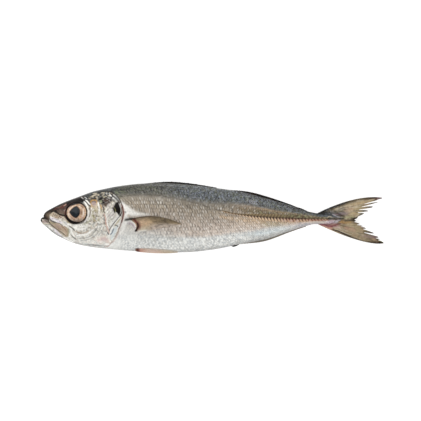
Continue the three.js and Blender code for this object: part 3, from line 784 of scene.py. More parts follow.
def paint_head(coat):
    """Everything that the head shows, from the snout to the gill opening."""
    station, height = coat.station, coat.height
    on_head = fade(station, 58, 66)
    top, bottom = back(station), belly(station)
    t = np.clip((top - height) / (top - bottom), 0, 1)
    coat.ramp(t, "0 back .1 slate .2 shoulder .27 cream .55 cheek .85 cheek 1 pearl", on_head)
    coat.mottle("shoulder", 0.5, 0.8, fade(t, 0.15, 0.25) * smooth(station, 25, 45) * on_head)
    side = smooth(t, 0.15, 0.3) * on_head
    crown = (1 - side) * smooth(station, 33, 40) * on_head * smooth(t, 0.05, 0.1)
    coat.mottle("olive", 0.7, 1.5, fade(t, 0.55, 0.7) * smooth(station, 38, 42) * side)
    coat.mottle("white", 0.8, 1.1, side)
    coat.mottle("silver", 0.6, 1.2, side * smooth(station, 24, 30))
    coat.mottle("hatch", 0.6, 1.0, side * smooth(station, 24, 30) * fade(t, 0.6, 0.9))
    coat.mottle("ink", 0.95, 1.3, crown)
    coat.mottle("cream", 0.9, 1.1, crown)
    coat.mottle("bluing", 0.3, 1.0, smooth(t, 0.6, 0.8) * on_head)
    coat.area("umber", 0.9, SNOUT_SHADE, 0.7)
    coat.mottle("hide", 0.4, 1.4, fade(station, 24, 28) * smooth(t, 0.1, 0.2))
    # Painted shade: greyer along the lower edge of the head.
    coat.fill("slate", 0.35 * fade(height - bottom, 0.5, 2.5) * on_head)
    coat.strokes(SNOUT + BROW + CHEEK + NAPE, 0.5)
    coat.area("ink", 1.0, BROW_PATCH, 0.5)
    bony = coat.oval(14.5, 1.2, 7, 2.2, 0.16)
    coat.fill("tan", 0.5 * bony)
    coat.mottle("umber", 0.9, 1.0, bony)
    coat.mottle("iris_shade", 0.7, 1.2, bony)
    coat.fill("tan", 0.5 * coat.oval(44.3, 9.5, 3, 4))
    coat.strokes(SNOUT_CREASE, 0)
    coat.mottle("umber", 0.8, 1.2, coat.oval(16, 5.5, 6, 2.5))
    coat.patch("ink", 0.9, (12.9, 5.4), (0.9, 0.6), relief=-0.4, turn=-30)
    coat.area("tan", 0.85, MAXILLA, 0.3, relief=0.75)
    coat.strokes(MOUTH_AND_JAWS, 0.4)
    # Painted shade: darker along the groove of the mouth's slit.
    coat.stroke("umber", 0.5, MOUTH["width"], -MOUTH["depth"], MOUTH["line"])
    coat.patch("ink", 1.0, (0.3, -2.0), (1.2, 1.8), turn=15)
    coat.stripes("brown", 0.5, 1.2, -38, coat.oval(16.5, -8.6, 6, 2, 0.75))
    coat.patch("mauve", 0.5, (43.8, 11.2), (1.7, 1.5))
    coat.patch("moss", 0.9, (49.3, 13.4), (1.2, 1.5))
    plate = coat.oval(57.4, 4.6, 4.4, 7.5)
    coat.fill("white", 0.6 * plate)
    coat.stripes("slate", 0.8, 1.9, 50, smooth(plate, 0.25, 0.7) * noise(coat.points, 2.2, 91))
    coat.mottle("mauve", 0.4, 2.0, plate)
    coat.area("umber", 0.95, BROWN_PATCH, 1.0)
    coat.mottle("ink", 1.0, 1.0, smooth(coat.oval(54, 14.5, 6, 4.5), 0, 0.5))
    coat.mottle("white", 0.3, 0.8, coat.oval(55, 14.6, 4, 3))
    coat.fill("shoulder", 0.75 * smooth(coat.x, 59, 62) * smooth(coat.y, 11, 14))
    coat.fill("shell", 0.8 * smooth(coat.oval(61.5, -5.5, 5, 5, -1.2), 0, 0.4))
    coat.strokes(GILL_COVER + THROAT_RAYS + GILL_RIM, 0.4)
    coat.mottle("ink", 0.9, 1.1, coat.oval(60.5, 7.6, 2.6, 3.6))
    coat.area("ink", 1.0, BLOTCH, 0.6)
    coat.strokes(BLOTCH_GLINTS, 0.5)
    x, y = (coat.station - EYE["station"]) / EYE["radius"], (coat.height - EYE["height"]) / EYE["radius"]
    ring = (np.hypot(x, y) - 1) * EYE["radius"]
    width = 0.3 + 0.8 * np.clip(-y, 0, 1) + 0.5 * np.clip(-x, 0, 1) + 0.35 * np.clip(x, 0, 1)
    coat.fill("maroon", 0.9 * fade(ring, width, width + 0.6) * np.clip(-x, 0, 1))
    coat.fill("ink", fade(ring, width - 0.2, width + 0.3) * (1 - 0.6 * np.clip(x, 0, 1)))
    coat.fill("umber", 0.9 * fade(ring, width - 0.2, width + 0.3) * np.clip(x, 0, 1))


def slit(height):
    """1 where the gill cover is loose, 0 where it is grown to the nape and the throat."""
    return fade(np.abs(height), GILL["top"], GILL["top"] + GILL["top_fade"])


def cover_relief(station, height):
    """The gill cover lifts towards its rear edge, and a groove parts it from the cheek plate."""
    ahead = np.maximum(gill_edge(height) - station, 0)
    groove = -0.45 * bump(station - cheek_edge(height), 1.0) * fade(np.abs(height), 13, 17)
    return GILL["rise"] * np.exp(-ahead / GILL["fade"]) * slit(height) + groove


def gill_station(degrees):
    """Station of the gill cover's rear edge at each angle round the body."""
    station = np.full_like(degrees, 60.0)
    for _ in range(40):
        station = gill_edge(section(station, degrees)[0])
    return station


def paint_shoulder(coat):
    """Behind the gill cover: the bright shoulder, the pectoral's root and the front of the lateral line."""
    coat.area("white", 0.85, BRIGHT_SHOULDER, 1.6)
    coat.strokes(BEHIND_GILLS, 0.5)
    coat.strokes(GILL_RIM, 0.4)
    coat.strokes(SHOULDER_BAND, 0.5)
    coat.mottle("moss", 0.8, 1.0, coat.oval(64.6, 19.2, 5, 3))
    coat.mottle("ink", 0.6, 0.8, coat.oval(65, 20, 7, 5))
    coat.patch("shell", 0.5, (72, -10), (6, 8))
    coat.patch("slate", 0.7, (69, 4.2), (0.7, 0.6))
    coat.patch("tan", 0.6, (71.6, 1.8), (1.3, 0.7))
    coat.strokes(PECTORAL_BASE, 0.5)
    coat.strokes(PECTORAL_CREASE, 0)
    coat.strokes(PECTORAL_EDGE, 0.5)


def scale_pattern(column, row, rows):
    """Round scales that overlap in staggered rows: the place within the topmost one, and its own number.

    Column and row count scales along and round the body. The scale nearest the head lies on top.
    """
    by_column, by_row, last = SCALE_HASH
    best = np.full(column.shape, 1e9)
    x, y, key = (np.zeros(column.shape) for _ in range(3))
    for down, forward in product((-1, 0, 1), (1, 0, -1)):
        its_row = np.floor(row) + down
        shift = 0.5 * (its_row % 2)
        its_column = np.floor(column - shift) - forward + shift
        along, across = column - its_column, (row - its_row - 0.5) / ROW_OVERLAP
        top = (np.hypot(along, across) < 1) & (its_column < best)
        best = np.where(top, its_column, best)
        x, y = np.where(top, along, x), np.where(top, across, y)
        key = np.where(top, (np.floor(its_column) * by_column + (its_row % rows) * by_row) % last, key)
    return x, y, (key * GOLDEN_SHARE) % 1


def paint_scales(coat, column, row, rows, sizes):
    """Every scale tilts up to its rim, with a painted glint of its own brightness and a dash of pigment and
    painted shadow near the rim.
    """
    column = column + 0.7 * (noise(coat.points, 5.0, 7) - 0.5)
    row = row + 0.6 * (noise(coat.points, 4.0, 8) - 0.5)
    x, y, own = scale_pattern(column, row, rows)
    station, reach = coat.station, np.hypot(x, y)
    below = (dark_edge(station) - coat.height) / np.maximum(dark_edge(station) - belly(station), 1)
    on_flank = smooth(below, -0.02, 0.12) * fade(below, 0.5, 0.72)
    on_back, on_belly = fade(below, -0.1, 0.05), smooth(below, 0.5, 0.72)
    live = smooth(station, 58, 69)
    # The dark dash near each scale's rim is pigment and painted shadow of the step under the rim.
    rim_pigment_and_shade = smooth(reach, 0.45, 0.8) * fade(np.abs(y), 0.45, 0.9) * smooth(x, 0.1, 0.4)
    waver = 0.3 + 0.7 * smooth(own, 0.1, 0.8)
    coat.fill("hatch", live * rim_pigment_and_shade * waver * (0.68 * on_flank + 0.9 * on_back + 0.3 * on_belly))
    # Painted highlights: a glint in some scales, white on the flank and belly, blue-grey or bronze on the
    # back.
    glint = bump(x - 0.1, 0.33) * bump(y, 0.6) * smooth((own * 7) % 1, 0.35, 1)
    coat.fill("white", live * glint * (0.65 * on_flank + 0.35 * on_belly))
    bloom = smooth(station, 90, 125)
    coat.fill("haze", live * glint * (0.1 + 0.6 * bloom) * on_back)
    coat.fill("bronze", live * glint * 0.4 * (1 - bloom) * on_back)
    coat.mottle("haze", 0.6, 0.65, live * on_back * bloom)
    coat.mottle("bronze", 0.45, 0.65, live * on_back * (1 - bloom))
    coat.mottle("ink", 0.65, 0.65, live * on_back)
    coat.mottle("moss", 0.2, 1.2, live * on_back)
    coat.mottle("steel", 0.35, 0.65, live * on_belly)
    coat.mottle("hatch", 0.2, 0.65, live * on_flank)
    coat.mottle("silver", 0.3, 0.65, live * on_flank * smooth(below, 0.15, 0.35))
    coat.mottle("slate", 0.17, 0.65, live * on_belly * fade(station, 85, 115))
    thin = np.clip(girth(station) / 8, 0.35, 1)
    coat.relief += live * sizes.scale_lift / MM * thin * (x / 2) * fade(reach, 0.85, 1)


def paint_tail_base(coat):
    """The fleshy tail base: slate above, a dark keel line, a white streak and blood-red flesh below."""
    coat.area("slate", 0.9, TAIL_SLATE, 3.0)
    coat.mottle("haze", 0.3, 1.0, bump((coat.station - 232) / 12, 1) * smooth(coat.height, -0.5, 0.8))
    coat.mottle("ink", 0.7, 1.0, bump((coat.station - 226) / 16, 1) * smooth(coat.height, 1, 2.5))
    ridge = 0.7 * smooth(coat.station, 205, 215) * fade(coat.station, 226, 232)
    coat.fill("ink", ridge * fade(back(coat.station) - coat.height, 0.4, 1.4))
    coat.strokes(TAIL_BASE, 0.4)
    coat.patch("wine", 0.5, (234.5, -5.6), (5, 1.8), turn=-10)
    coat.mottle("umber", 0.6, 1.0, coat.oval(234, -4, 8, 3.5))
    coat.mottle("slate", 0.6, 1.0, coat.oval(236, -1.5, 8, 2.5))
    coat.mottle("mauve", 0.7, 0.9, coat.oval(234, -3.4, 7, 2))


def paint_trunk(coat):
    """The lateral line, the coloured band along the keel and the flecks of the back."""
    rear = [(156, 3), (164, 1.8), (176, 0.7), (192, -0.3), (208, -0.8), (224, -1.1), (240, -1.4)]
    coat.stroke("hatch", 0.55, 0.35, -0.12, LATERAL_LINE[:8])
    depth = back(coat.station) - coat.height
    first = smooth(coat.station, 82, 92) * fade(coat.station, 136, 144)
    second = smooth(coat.station, 150, 162) * fade(coat.station, 204, 210)
    # Painted highlight: a light blue-grey line along the sheath under the folded first dorsal fin.
    coat.fill("haze", 0.35 * first * bump(depth - 1.9, 0.5))
    coat.fill("ink", 0.9 * first * fade(depth, 0.4, 1.0))
    coat.fill("ink", 0.85 * second * fade(depth, 1.2, 2.8))
    coat.mottle("umber", 0.6, 1.6, second * fade(depth, 1.2, 2.8))
    gold = [(158, 7.2), (168, 5.6), (180, 3.8), (196, 2.6), (212, 1.2)]
    coat.stroke("gold", 0.6, 2.2, 0, gold, taper=0.8)
    peach = [(144, 0.8), (156, -0.8), (168, -1.8), (182, -2.8), (200, -3), (214, -2.8)]
    coat.stroke("peach", 0.8, 2.0, 0, peach, taper=0.7)
    coat.stroke("umber", 0.4, 0.7, 0, rear, taper=0.9)
    under = lateral_line(coat.station) - coat.height
    coat.fill("mauve", 0.3 * smooth(coat.station, 196, 212) * smooth(under, 1.5, 3.5))
    coat.patch("moss", 0.35, (186, -5.2), (9, 2.4))
    for place in BACK_FLECKS:
        coat.patch("fleck", 0.55, place, (1.3, 0.5), turn=-18)
    coat.patch("lilac", 0.3, (170, 12.6), (5, 1.6), turn=-18)
    coat.patch("ice", 0.3, (182, -10.5), (14, 2.5), turn=10)


# ---- Meshes ----


def mesh_of(name, points, tint):
    """A capped tube of rings of points, each ring running from the back round the left side."""
    rings, count = points.shape[:2]
    corner = np.arange(rings * count).reshape(rings, count)
    after = np.roll(corner, -1, axis=1)
    quads = np.stack([corner[:-1], after[:-1], after[1:], corner[1:]], axis=-1).reshape(-1, 4)
    step = np.arange(count // 2 - 1)
    strip = np.stack([step, count - 1 - step, count - 2 - step, step + 1], axis=-1)
    ends = np.concatenate([strip, strip[:, ::-1] + (rings - 1) * count])
    mesh = bpy.data.meshes.new(name)
    mesh.from_pydata(points.reshape(-1, 3), [], [*quads.tolist(), *ends.tolist()])
    paint_mesh(mesh, tint.reshape(-1, 3))
    mesh.shade_smooth()
    return mesh


def paint_mesh(mesh, colours):
    """Stores linear colours on a mesh's points, where the materials read them."""
    layer = mesh.color_attributes.get("tint") or mesh.color_attributes.new("tint", "FLOAT_COLOR", "POINT")
    opaque = np.column_stack([colours, np.ones(len(colours))])
    layer.data.foreach_set("color", opaque.astype(np.float32).ravel())


def right_way_out(mesh):
    """Points every face outwards on a closed mesh, whichever way it was drawn."""
    work = bmesh.new()
    work.from_mesh(mesh)
    bmesh.ops.recalc_face_normals(work, faces=work.faces)
    work.to_mesh(mesh)
    work.free()


def piece(name, mesh, material, slot, *nodes):
    """Puts a finished mesh in the scene: on the fish's one body, in place of CAD nodes. The slot is not used.
    """
    thing = bpy.data.objects.new(name, mesh)
    bpy.context.scene.collection.objects.link(thing)
    if material:
        mesh.materials.clear()
        mesh.materials.append(material)
    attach(thing, "root")
    if nodes:
        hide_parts(*nodes)
    return thing


def join_rings(upper, lower):
    """Turns the upper and lower faces of a thin plate into rings of points round it."""
    return np.concatenate([upper, lower[:, ::-1]], axis=1)


# ---- Node trees ----


def add(tree, kind, settings=(), inputs=()):
    """Adds a node with its own settings and its inputs, each a value or another node's output."""
    made = tree.nodes.new(kind)
    for name, value in dict(settings).items():
        setattr(made, name, value)
    for key, value in dict(inputs).items():
        if isinstance(value, bpy.types.NodeSocket):
            tree.links.new(value, made.inputs[key])
        else:
            made.inputs[key].default_value = value
    return made


def new_material(name, **sockets):
    """A material with one Principled shader, and that shader."""
    material = bpy.data.materials.new(name)
    material.use_nodes = True
    shader = material.node_tree.nodes["Principled BSDF"]
    for key, value in sockets.items():
        shader.inputs[key.replace("_", " ")].default_value = value
    return material, material.node_tree, shader


def painted_material(name, low, high, size, depth=0, **sockets):
    """A material with the painted colour under a fine grain, from low to high. A depth raises the grain."""
    material, tree, shader = new_material(name, **sockets)
    tint = add(tree, "ShaderNodeAttribute", {"attribute_name": "tint"})
    place = add(tree, "ShaderNodeTexCoord").outputs["Object"]
    fine = {"Vector": place, "Scale": 1 / (size * MM), "Detail": 2}
    grain = add(tree, "ShaderNodeTexNoise", {}, fine).outputs[0]
    level = add(tree, "ShaderNodeMapRange", {}, {0: grain, 1: 0.3, 2: 0.7, 3: low, 4: high}).outputs[0]
    mixed = add(tree, "ShaderNodeVectorMath", {"operation": "SCALE"}, {0: tint.outputs["Color"], 3: level})
    tree.links.new(mixed.outputs[0], shader.inputs["Base Color"])
    if depth:
        bumped = add(tree, "ShaderNodeBump", {}, {"Height": grain, "Distance": depth * MM, "Strength": 1})
        tree.links.new(bumped.outputs[0], shader.inputs["Normal"])
    return material, tree, shader, place


def skin_material():
    """Wet scad skin: crystals in the scales mirror the light in glints, under a thin film of slime."""
    material, tree, shader, place = painted_material(
        "Wet scad skin", 0.9, 1.1, 0.9, 0.05, Metallic=0.3, Roughness=0.42, IOR=1.38, Specular_IOR_Level=0.1,
        Coat_Weight=0.06, Coat_Roughness=0.15,
    )
    sparkle = add(tree, "ShaderNodeTexVoronoi", {}, {"Vector": place, "Scale": 1 / (1.1 * MM)})
    shine = add(
        tree, "ShaderNodeMapRange", {}, {0: sparkle.outputs["Color"], 1: 0.1, 2: 0.9, 3: 0.3, 4: 0.55}
    )
    tree.links.new(shine.outputs[0], shader.inputs["Roughness"])
    return material


def head_material():
    """Smooth wet skin over bone: it shines more than the flank and has fine wrinkles."""
    return painted_material(
        "Wet head skin", 0.92, 1.08, 0.7, 0.06, Metallic=0.22, Roughness=0.36, IOR=1.38,
        Specular_IOR_Level=0.1, Coat_Weight=0.07, Coat_Roughness=0.1,
    )[0]


def web_material():
    """Fin membrane: thin, damp, see-through skin with a silky shine, so some light comes through it."""
    material, _, shader, _ = painted_material(
        "Damp fin membrane", 0.88, 1.12, 0.8, 0.04, Roughness=0.5, IOR=1.4, Specular_IOR_Level=0.12,
        Coat_Weight=0.04, Coat_Roughness=0.25, Subsurface_Weight=0.1, Subsurface_Scale=1.0,
    )
    shader.inputs["Subsurface Radius"].default_value = (1.2 * MM, 0.8 * MM, 0.5 * MM)
    return material


def ray_material():
    """Fin ray: horny, jointed rods with a dull sheen."""
    return painted_material(
        "Horny fin ray", 0.82, 1.15, 1.3, Roughness=0.45, IOR=1.5, Specular_IOR_Level=0.12, Coat_Weight=0.03,
        Coat_Roughness=0.2,
    )[0]


def scute_material():
    """Keeled scale: a hard bony plate under thin skin, smoother and shinier than the flank."""
    return painted_material(
        "Bony keeled scale", 0.88, 1.12, 0.8, Metallic=0.15, Roughness=0.35, IOR=1.5, Specular_IOR_Level=0.15,
        Coat_Weight=0.08, Coat_Roughness=0.12,
    )[0]


def eye_material():
    """Eye: the flecked iris and the pupil, under a cornea so wet and smooth that it mirrors the lamps."""
    return painted_material(
        "Scad eye under wet cornea", 0.93, 1.07, 0.6, Metallic=0.05, Roughness=0.35, IOR=1.38,
        Specular_IOR_Level=0.1, Coat_Weight=0.5, Coat_Roughness=0.04, Coat_IOR=1.34,
    )[0]


# ---- Geometry Nodes ----


def new_tree(name, inputs):
    """An empty geometry tree with named inputs, each with its kind and default."""
    tree = bpy.data.node_groups.new(name, "GeometryNodeTree")
    tree.interface.new_socket("Geometry", in_out="OUTPUT", socket_type="NodeSocketGeometry")
    tree.interface.new_socket("Geometry", in_out="INPUT", socket_type="NodeSocketGeometry")
    for label, (kind, value) in inputs.items():
        socket = tree.interface.new_socket(label, in_out="INPUT", socket_type=kind)
        if value is not None:
            socket.default_value = value
    return tree, add(tree, "NodeGroupInput").outputs


def close_tree(tree, geometry, material):
    """Ends a tree: real geometry, a material, smooth faces."""
    real = add(tree, "GeometryNodeRealizeInstances", {}, {0: geometry})
    dressed = add(tree, "GeometryNodeSetMaterial", {}, {0: real.outputs[0], "Material": material})
    soft = add(tree, "GeometryNodeSetShadeSmooth", {}, {0: dressed.outputs[0]})
    add(tree, "NodeGroupOutput", {}, {0: soft.outputs[0]})
    return tree


def rays_tree():
    """Sweeps a round rod along each line of points, as thick at each point as its girth attribute says."""
    tree, given = new_tree("Fin rays", {
        "Sides": ("NodeSocketInt", 6), "Fatness": ("NodeSocketFloat", 1.0),
        "Material": ("NodeSocketMaterial", None),
    })
    girths = add(tree, "GeometryNodeInputNamedAttribute", {"data_type": "FLOAT"}, {0: "girth"}).outputs[0]
    fat = add(tree, "ShaderNodeMath", {"operation": "MULTIPLY"}, {0: girths, 1: given["Fatness"]})
    line = add(tree, "GeometryNodeMeshToCurve", {}, {0: given["Geometry"]}).outputs[0]
    rod = add(tree, "GeometryNodeCurvePrimitiveCircle", {}, {"Resolution": given["Sides"], "Radius": 1.0})
    swept = {"Curve": line, "Profile Curve": rod.outputs[0], "Scale": fat.outputs[0], "Fill Caps": True}
    rods = add(tree, "GeometryNodeCurveToMesh", {}, swept)
    return close_tree(tree, rods.outputs[0], given["Material"])


def scutes_tree():
    """Sets a copy of one keeled scale at each point, turned and sized by the point's attributes."""
    tree, given = new_tree("Keeled scales", {
        "Scale piece": ("NodeSocketObject", None), "Size": ("NodeSocketFloat", 1.0),
        "Material": ("NodeSocketMaterial", None),
    })
    out, back_way, size = (
        add(tree, "GeometryNodeInputNamedAttribute", {"data_type": "FLOAT_VECTOR"}, {0: name}).outputs[0]
        for name in ("out", "tailward", "size")
    )
    axes = {"primary_axis": "Z", "secondary_axis": "X"}
    turn = add(tree, "FunctionNodeAxesToRotation", axes, {0: out, 1: back_way}).outputs[0]
    grown = add(tree, "ShaderNodeVectorMath", {"operation": "SCALE"}, {0: size, 3: given["Size"]})
    shape = add(tree, "GeometryNodeObjectInfo", {}, {"Object": given["Scale piece"]}).outputs["Geometry"]
    spread = {"Points": given["Geometry"], "Instance": shape, "Rotation": turn, "Scale": grown.outputs[0]}
    copies = add(tree, "GeometryNodeInstanceOnPoints", {}, spread)
    return close_tree(tree, copies.outputs[0], given["Material"])


def grown_mesh(name, mesh, tree, **inputs):
    """Runs a geometry tree on a mesh and gives back the plain mesh that it makes."""
    seed = bpy.data.objects.new(name + "_seed", mesh)
    bpy.context.scene.collection.objects.link(seed)
    modifier = seed.modifiers.new("grow", "NODES")
    modifier.node_group = tree
    named = {s.name: s.identifier for s in tree.interface.items_tree if s.in_out == "INPUT"}
    for label, value in inputs.items():
        modifier[named[label.replace("_", " ")]] = value
    view = bpy.context.evaluated_depsgraph_get()
    grown = seed.evaluated_get(view)
    result = bpy.data.meshes.new_from_object(grown, preserve_all_data_layers=True, depsgraph=view)
    result.name = name
    seed.modifiers.remove(modifier)
    bpy.data.objects.remove(seed)
    return result


def lines_mesh(lines):
    """A mesh of open lines, each with its scene points, its girth in millimetres and its linear colours."""
    places, edges, girths, tints = [], [], [], []
    for points, thick, tint in lines:
        first = sum(len(p) for p in places)
        edges += [(first + i, first + i + 1) for i in range(len(points) - 1)]
        places.append(points)
        girths.append(np.broadcast_to(thick, len(points)) * MM)
        tints.append(np.broadcast_to(tint, (len(points), 3)))
    mesh = bpy.data.meshes.new("lines")
    mesh.from_pydata(np.concatenate(places), edges, [])
    layer = mesh.attributes.new("girth", "FLOAT", "POINT")
    layer.data.foreach_set("value", np.concatenate(girths).astype(np.float32))
    paint_mesh(mesh, np.concatenate(tints))
    return mesh


# ---- Settings ----


def whole_number(name, description, start, least):
    return IntProperty(name=name, description=description, default=start, min=least)


def hue(name, description, code):
    return FloatVectorProperty(
        name=name, description=description, subtype="COLOR", size=3, min=0, max=1, default=linear(code)
    )


def length(name, description, millimetres):
    return FloatProperty(
        name=name, description=description, unit="LENGTH", min=0, precision=4, default=millimetres * MM
    )


class FishColours(PropertyGroup):
    """The colours of the fish, from its back to its belly, then its markings."""

    back: hue("Back", "Ridge of the back, olive black", "#2a2c2b")
    slate: hue("Slate", "Upper back", "#44484a")
    bluing: hue("Blue bloom", "Blue sheen along the upper back", "#55606c")
    shoulder: hue("Shoulder", "Lower back, above the dark edge", "#5f605d")
    bronze: hue("Bronze", "Top of the pale flank", "#807a6f")
    flank: hue("Flank", "Upper flank", "#afa290")
    silver: hue("Silver", "Middle flank", "#c4b6a9")
    pearl: hue("Pearl", "Lower flank", "#bbbcb9")
    # Painted shade: the belly colour is a darker grey for the belly's edge, where the body turns away from
    # the light.
    belly: hue("Belly", "Belly edge", "#b6b4ae")
    tan: hue("Tan", "Rear flank above the keel, jaw plates", "#a9937a")
    gold: hue("Gold", "Band over the keeled scales", "#8c7a5c")
    peach: hue("Peach", "Band under the keeled scales", "#cdb293")
    # The dark of the scale rims is pigment and also painted shadow of the step under each rim.
    hatch: hue("Scale rim", "Pigment at the rims of the scales", "#3f3a34")
    haze: hue("Back glint", "Blue-grey light in the middle of the scales of the back", "#8f95a0")
    cream: hue("Cream", "Bony snout and the marks of the nape", "#c4b8a2")
    cheek: hue("Cheek", "Cheek plates", "#dedbd1")
    shell: hue("Shell", "Bright shoulder and gill cover", "#dcdcd7")
    white: hue("White", "Silver-white glints", "#eeece6")
    ink: hue("Ink", "Black marks", "#120e0c")
    umber: hue("Umber", "Dark brown of the snout and jaw lines", "#3d2d25")
    brown: hue("Brown", "Brown of the jaws and the keel line", "#70523f")
    maroon: hue("Maroon", "Red blush of the snout", "#5a2f29")
    hide: hue("Hide", "Brown-grey skin of the snout and the folded fins", "#6e594f")
    rust: hue("Rust", "Rim of the gill cover", "#7d4436")
    rose: hue("Rose", "Pink membranes", "#c6998a")
    blush: hue("Blush", "Pink throat", "#d3bdb4")
    wine: hue("Wine", "Blood-red root of the lower tail lobe", "#8a4a58")
    mauve: hue("Mauve", "Purple-grey flesh", "#97808a")
    lilac: hue("Lilac", "Lilac sheen of the jaws", "#d9d3da")
    ice: hue("Ice", "Pale blue sheen", "#c4d6dc")
    steel: hue("Steel", "Blue streak on the gill cover", "#56697c")
    olive: hue("Olive", "Green-brown flecks of the head", "#8d8860")
    moss: hue("Moss", "Green flecks of the nape", "#7c8262")
    fleck: hue("Fleck", "Yellow-green flecks of the back", "#a2a57e")
    ochre: hue("Ochre", "Orange-yellow marks", "#c08e42")
    horn: hue("Horn", "Tan membranes of the fins", "#ad9777")
    dusk: hue("Dusk", "Olive-brown upper half of the pectoral fin", "#776a55")
    straw: hue("Straw", "Pale rays of the fins", "#b7a582")
    smoke: hue("Smoke", "Dusky edges of the fins", "#4b4538")
    pupil: hue("Pupil", "Black of the eye", "#171d21")
    iris: hue("Iris", "Peach gold of the iris", "#cfab87")
    iris_shade: hue("Iris shade", "Grey mauve shading of the iris", "#8f7163")


class FishSizes(PropertyGroup):
    """The sizes of the finer parts of the fish."""

    scale_columns: whole_number("Scale columns", "Scales from the gill opening to the tail", 96, 20)
    scale_rows: whole_number("Scale rows", "Rows of scales round the body, an even number", 50, 20)
    scale_lift: length("Scale lift", "How far a scale's rim stands over the next scale", 0.16)
    scute_pitch: length("Keeled scale pitch", "Distance between keeled scales on the lateral line", 2.45)
    scute_height: length("Keeled scale height", "Height of the largest keeled scales", 6)
    iris_radius: length("Iris radius", "Outer radius of the gold iris", 8.05)
    pupil_radius: length("Pupil radius", "Radius of the pupil", 4.35)
    tail_rays: whole_number("Tail rays", "Rays in the tail fin", 44, 8)
    pectoral_rays: whole_number("Pectoral rays", "Rays in a pectoral fin", 15, 3)
    pelvic_rays: whole_number("Pelvic rays", "Rays in a pelvic fin", 6, 2)
    camera_height: length("Camera height", "Height of the camera over the table", 1280)
    camera_lens: FloatProperty(name="Lens", description="Focal length in millimetres", default=135, min=20)


# ---- Operators ----


class FISH_OT_head(Operator):
    """Head: jaws, snout, cheek plates and gill covers, rolled in at the gill opening"""

    bl_idname = "fish.head"
    bl_label = "Head"

    def execute(self, context):
        degrees = even_angles(HEAD_ROWS, HEAD_SECTION)
        edge = gill_station(degrees)
        spacing = through([(0, 0), (0.1, 0.075), (1, 1)])
        station = spacing(np.linspace(0, 1, HEAD_COLUMNS))[:, None] * edge
        height, side = section(station, degrees)
        points = np.stack([station, height, side], axis=-1)
        points = self.gather_at_eyes(points)
        coat = Coat(points, context.scene.fish_colours, 11)
        paint_base(coat)
        paint_head(coat)
        coat.grain(0.12, 0.9)
        coat.relief += cover_relief(coat.station, coat.height)
        normal = outward(points)
        laid = points + normal * coat.relief[..., None]
        laid = self.sink_sockets(laid, points)
        rings, tints = [lay(laid)], [coat.tint]
        loose = (0.3 + 0.7 * slit(height[-1]))[:, None]
        for forward, inward in GILL_ROLL:
            lip = laid[-1] - normal[-1] * inward * loose - np.array([forward, 0, 0])
            rings.append(lay(lip)[None])
            # Painted shade: the lip that rolls in under the gill cover is darker.
            tints.append(coat.tint[-1:] * 0.8)
        mesh = mesh_of("head_skin", np.concatenate(rings), np.concatenate(tints))
        piece("head_skin", mesh, head_material(), "skin", "body")
        return {"FINISHED"}

    def eye_distance(self, points):
        """Distance from the axis of the nearer eye, and the way that it faces."""
        hand = np.where(points[..., 2] >= 0, 1, -1)
        centre, facing = eye_place(1)
        flip = np.stack([np.ones_like(hand), np.ones_like(hand), hand], axis=-1)
        offset = points * flip - centre
        along = offset @ facing
        sideways = offset - along[..., None] * facing
        reach = np.sqrt(np.sum(sideways**2, axis=-1) - (1 - EYE_STRETCH**-2) * sideways[..., 0] ** 2)
        return reach, sideways, along, facing, flip

    def gather_at_eyes(self, points):
        """Pulls grid points onto the rim of the socket, so that it is cleanly round."""
        reach, sideways, along, _, flip = self.eye_distance(points)
        rim = EYE["radius"] + EYE["rim"]
        pull = 0.75 * (rim - reach) * bump(reach - rim, 0.6) * (along > 0)
        moved = sideways / np.maximum(reach, 1e-6)[..., None] * pull[..., None]
        return points + moved * flip

    def sink_sockets(self, laid, points):
        """Drops the skin inside the rim of the socket, behind the eyeball, and lifts a low rim round it."""
        reach, _, along, facing, flip = self.eye_distance(points)
        rim = EYE["radius"] + EYE["rim"]
        drop = -SOCKET["drop"] * fade(reach, rim - 0.55, rim + 0.05)
        depth = drop + SOCKET["lip"] * bump(reach - rim - 0.6, 0.7)
        return laid + (depth * (along > 0))[..., None] * facing * flip


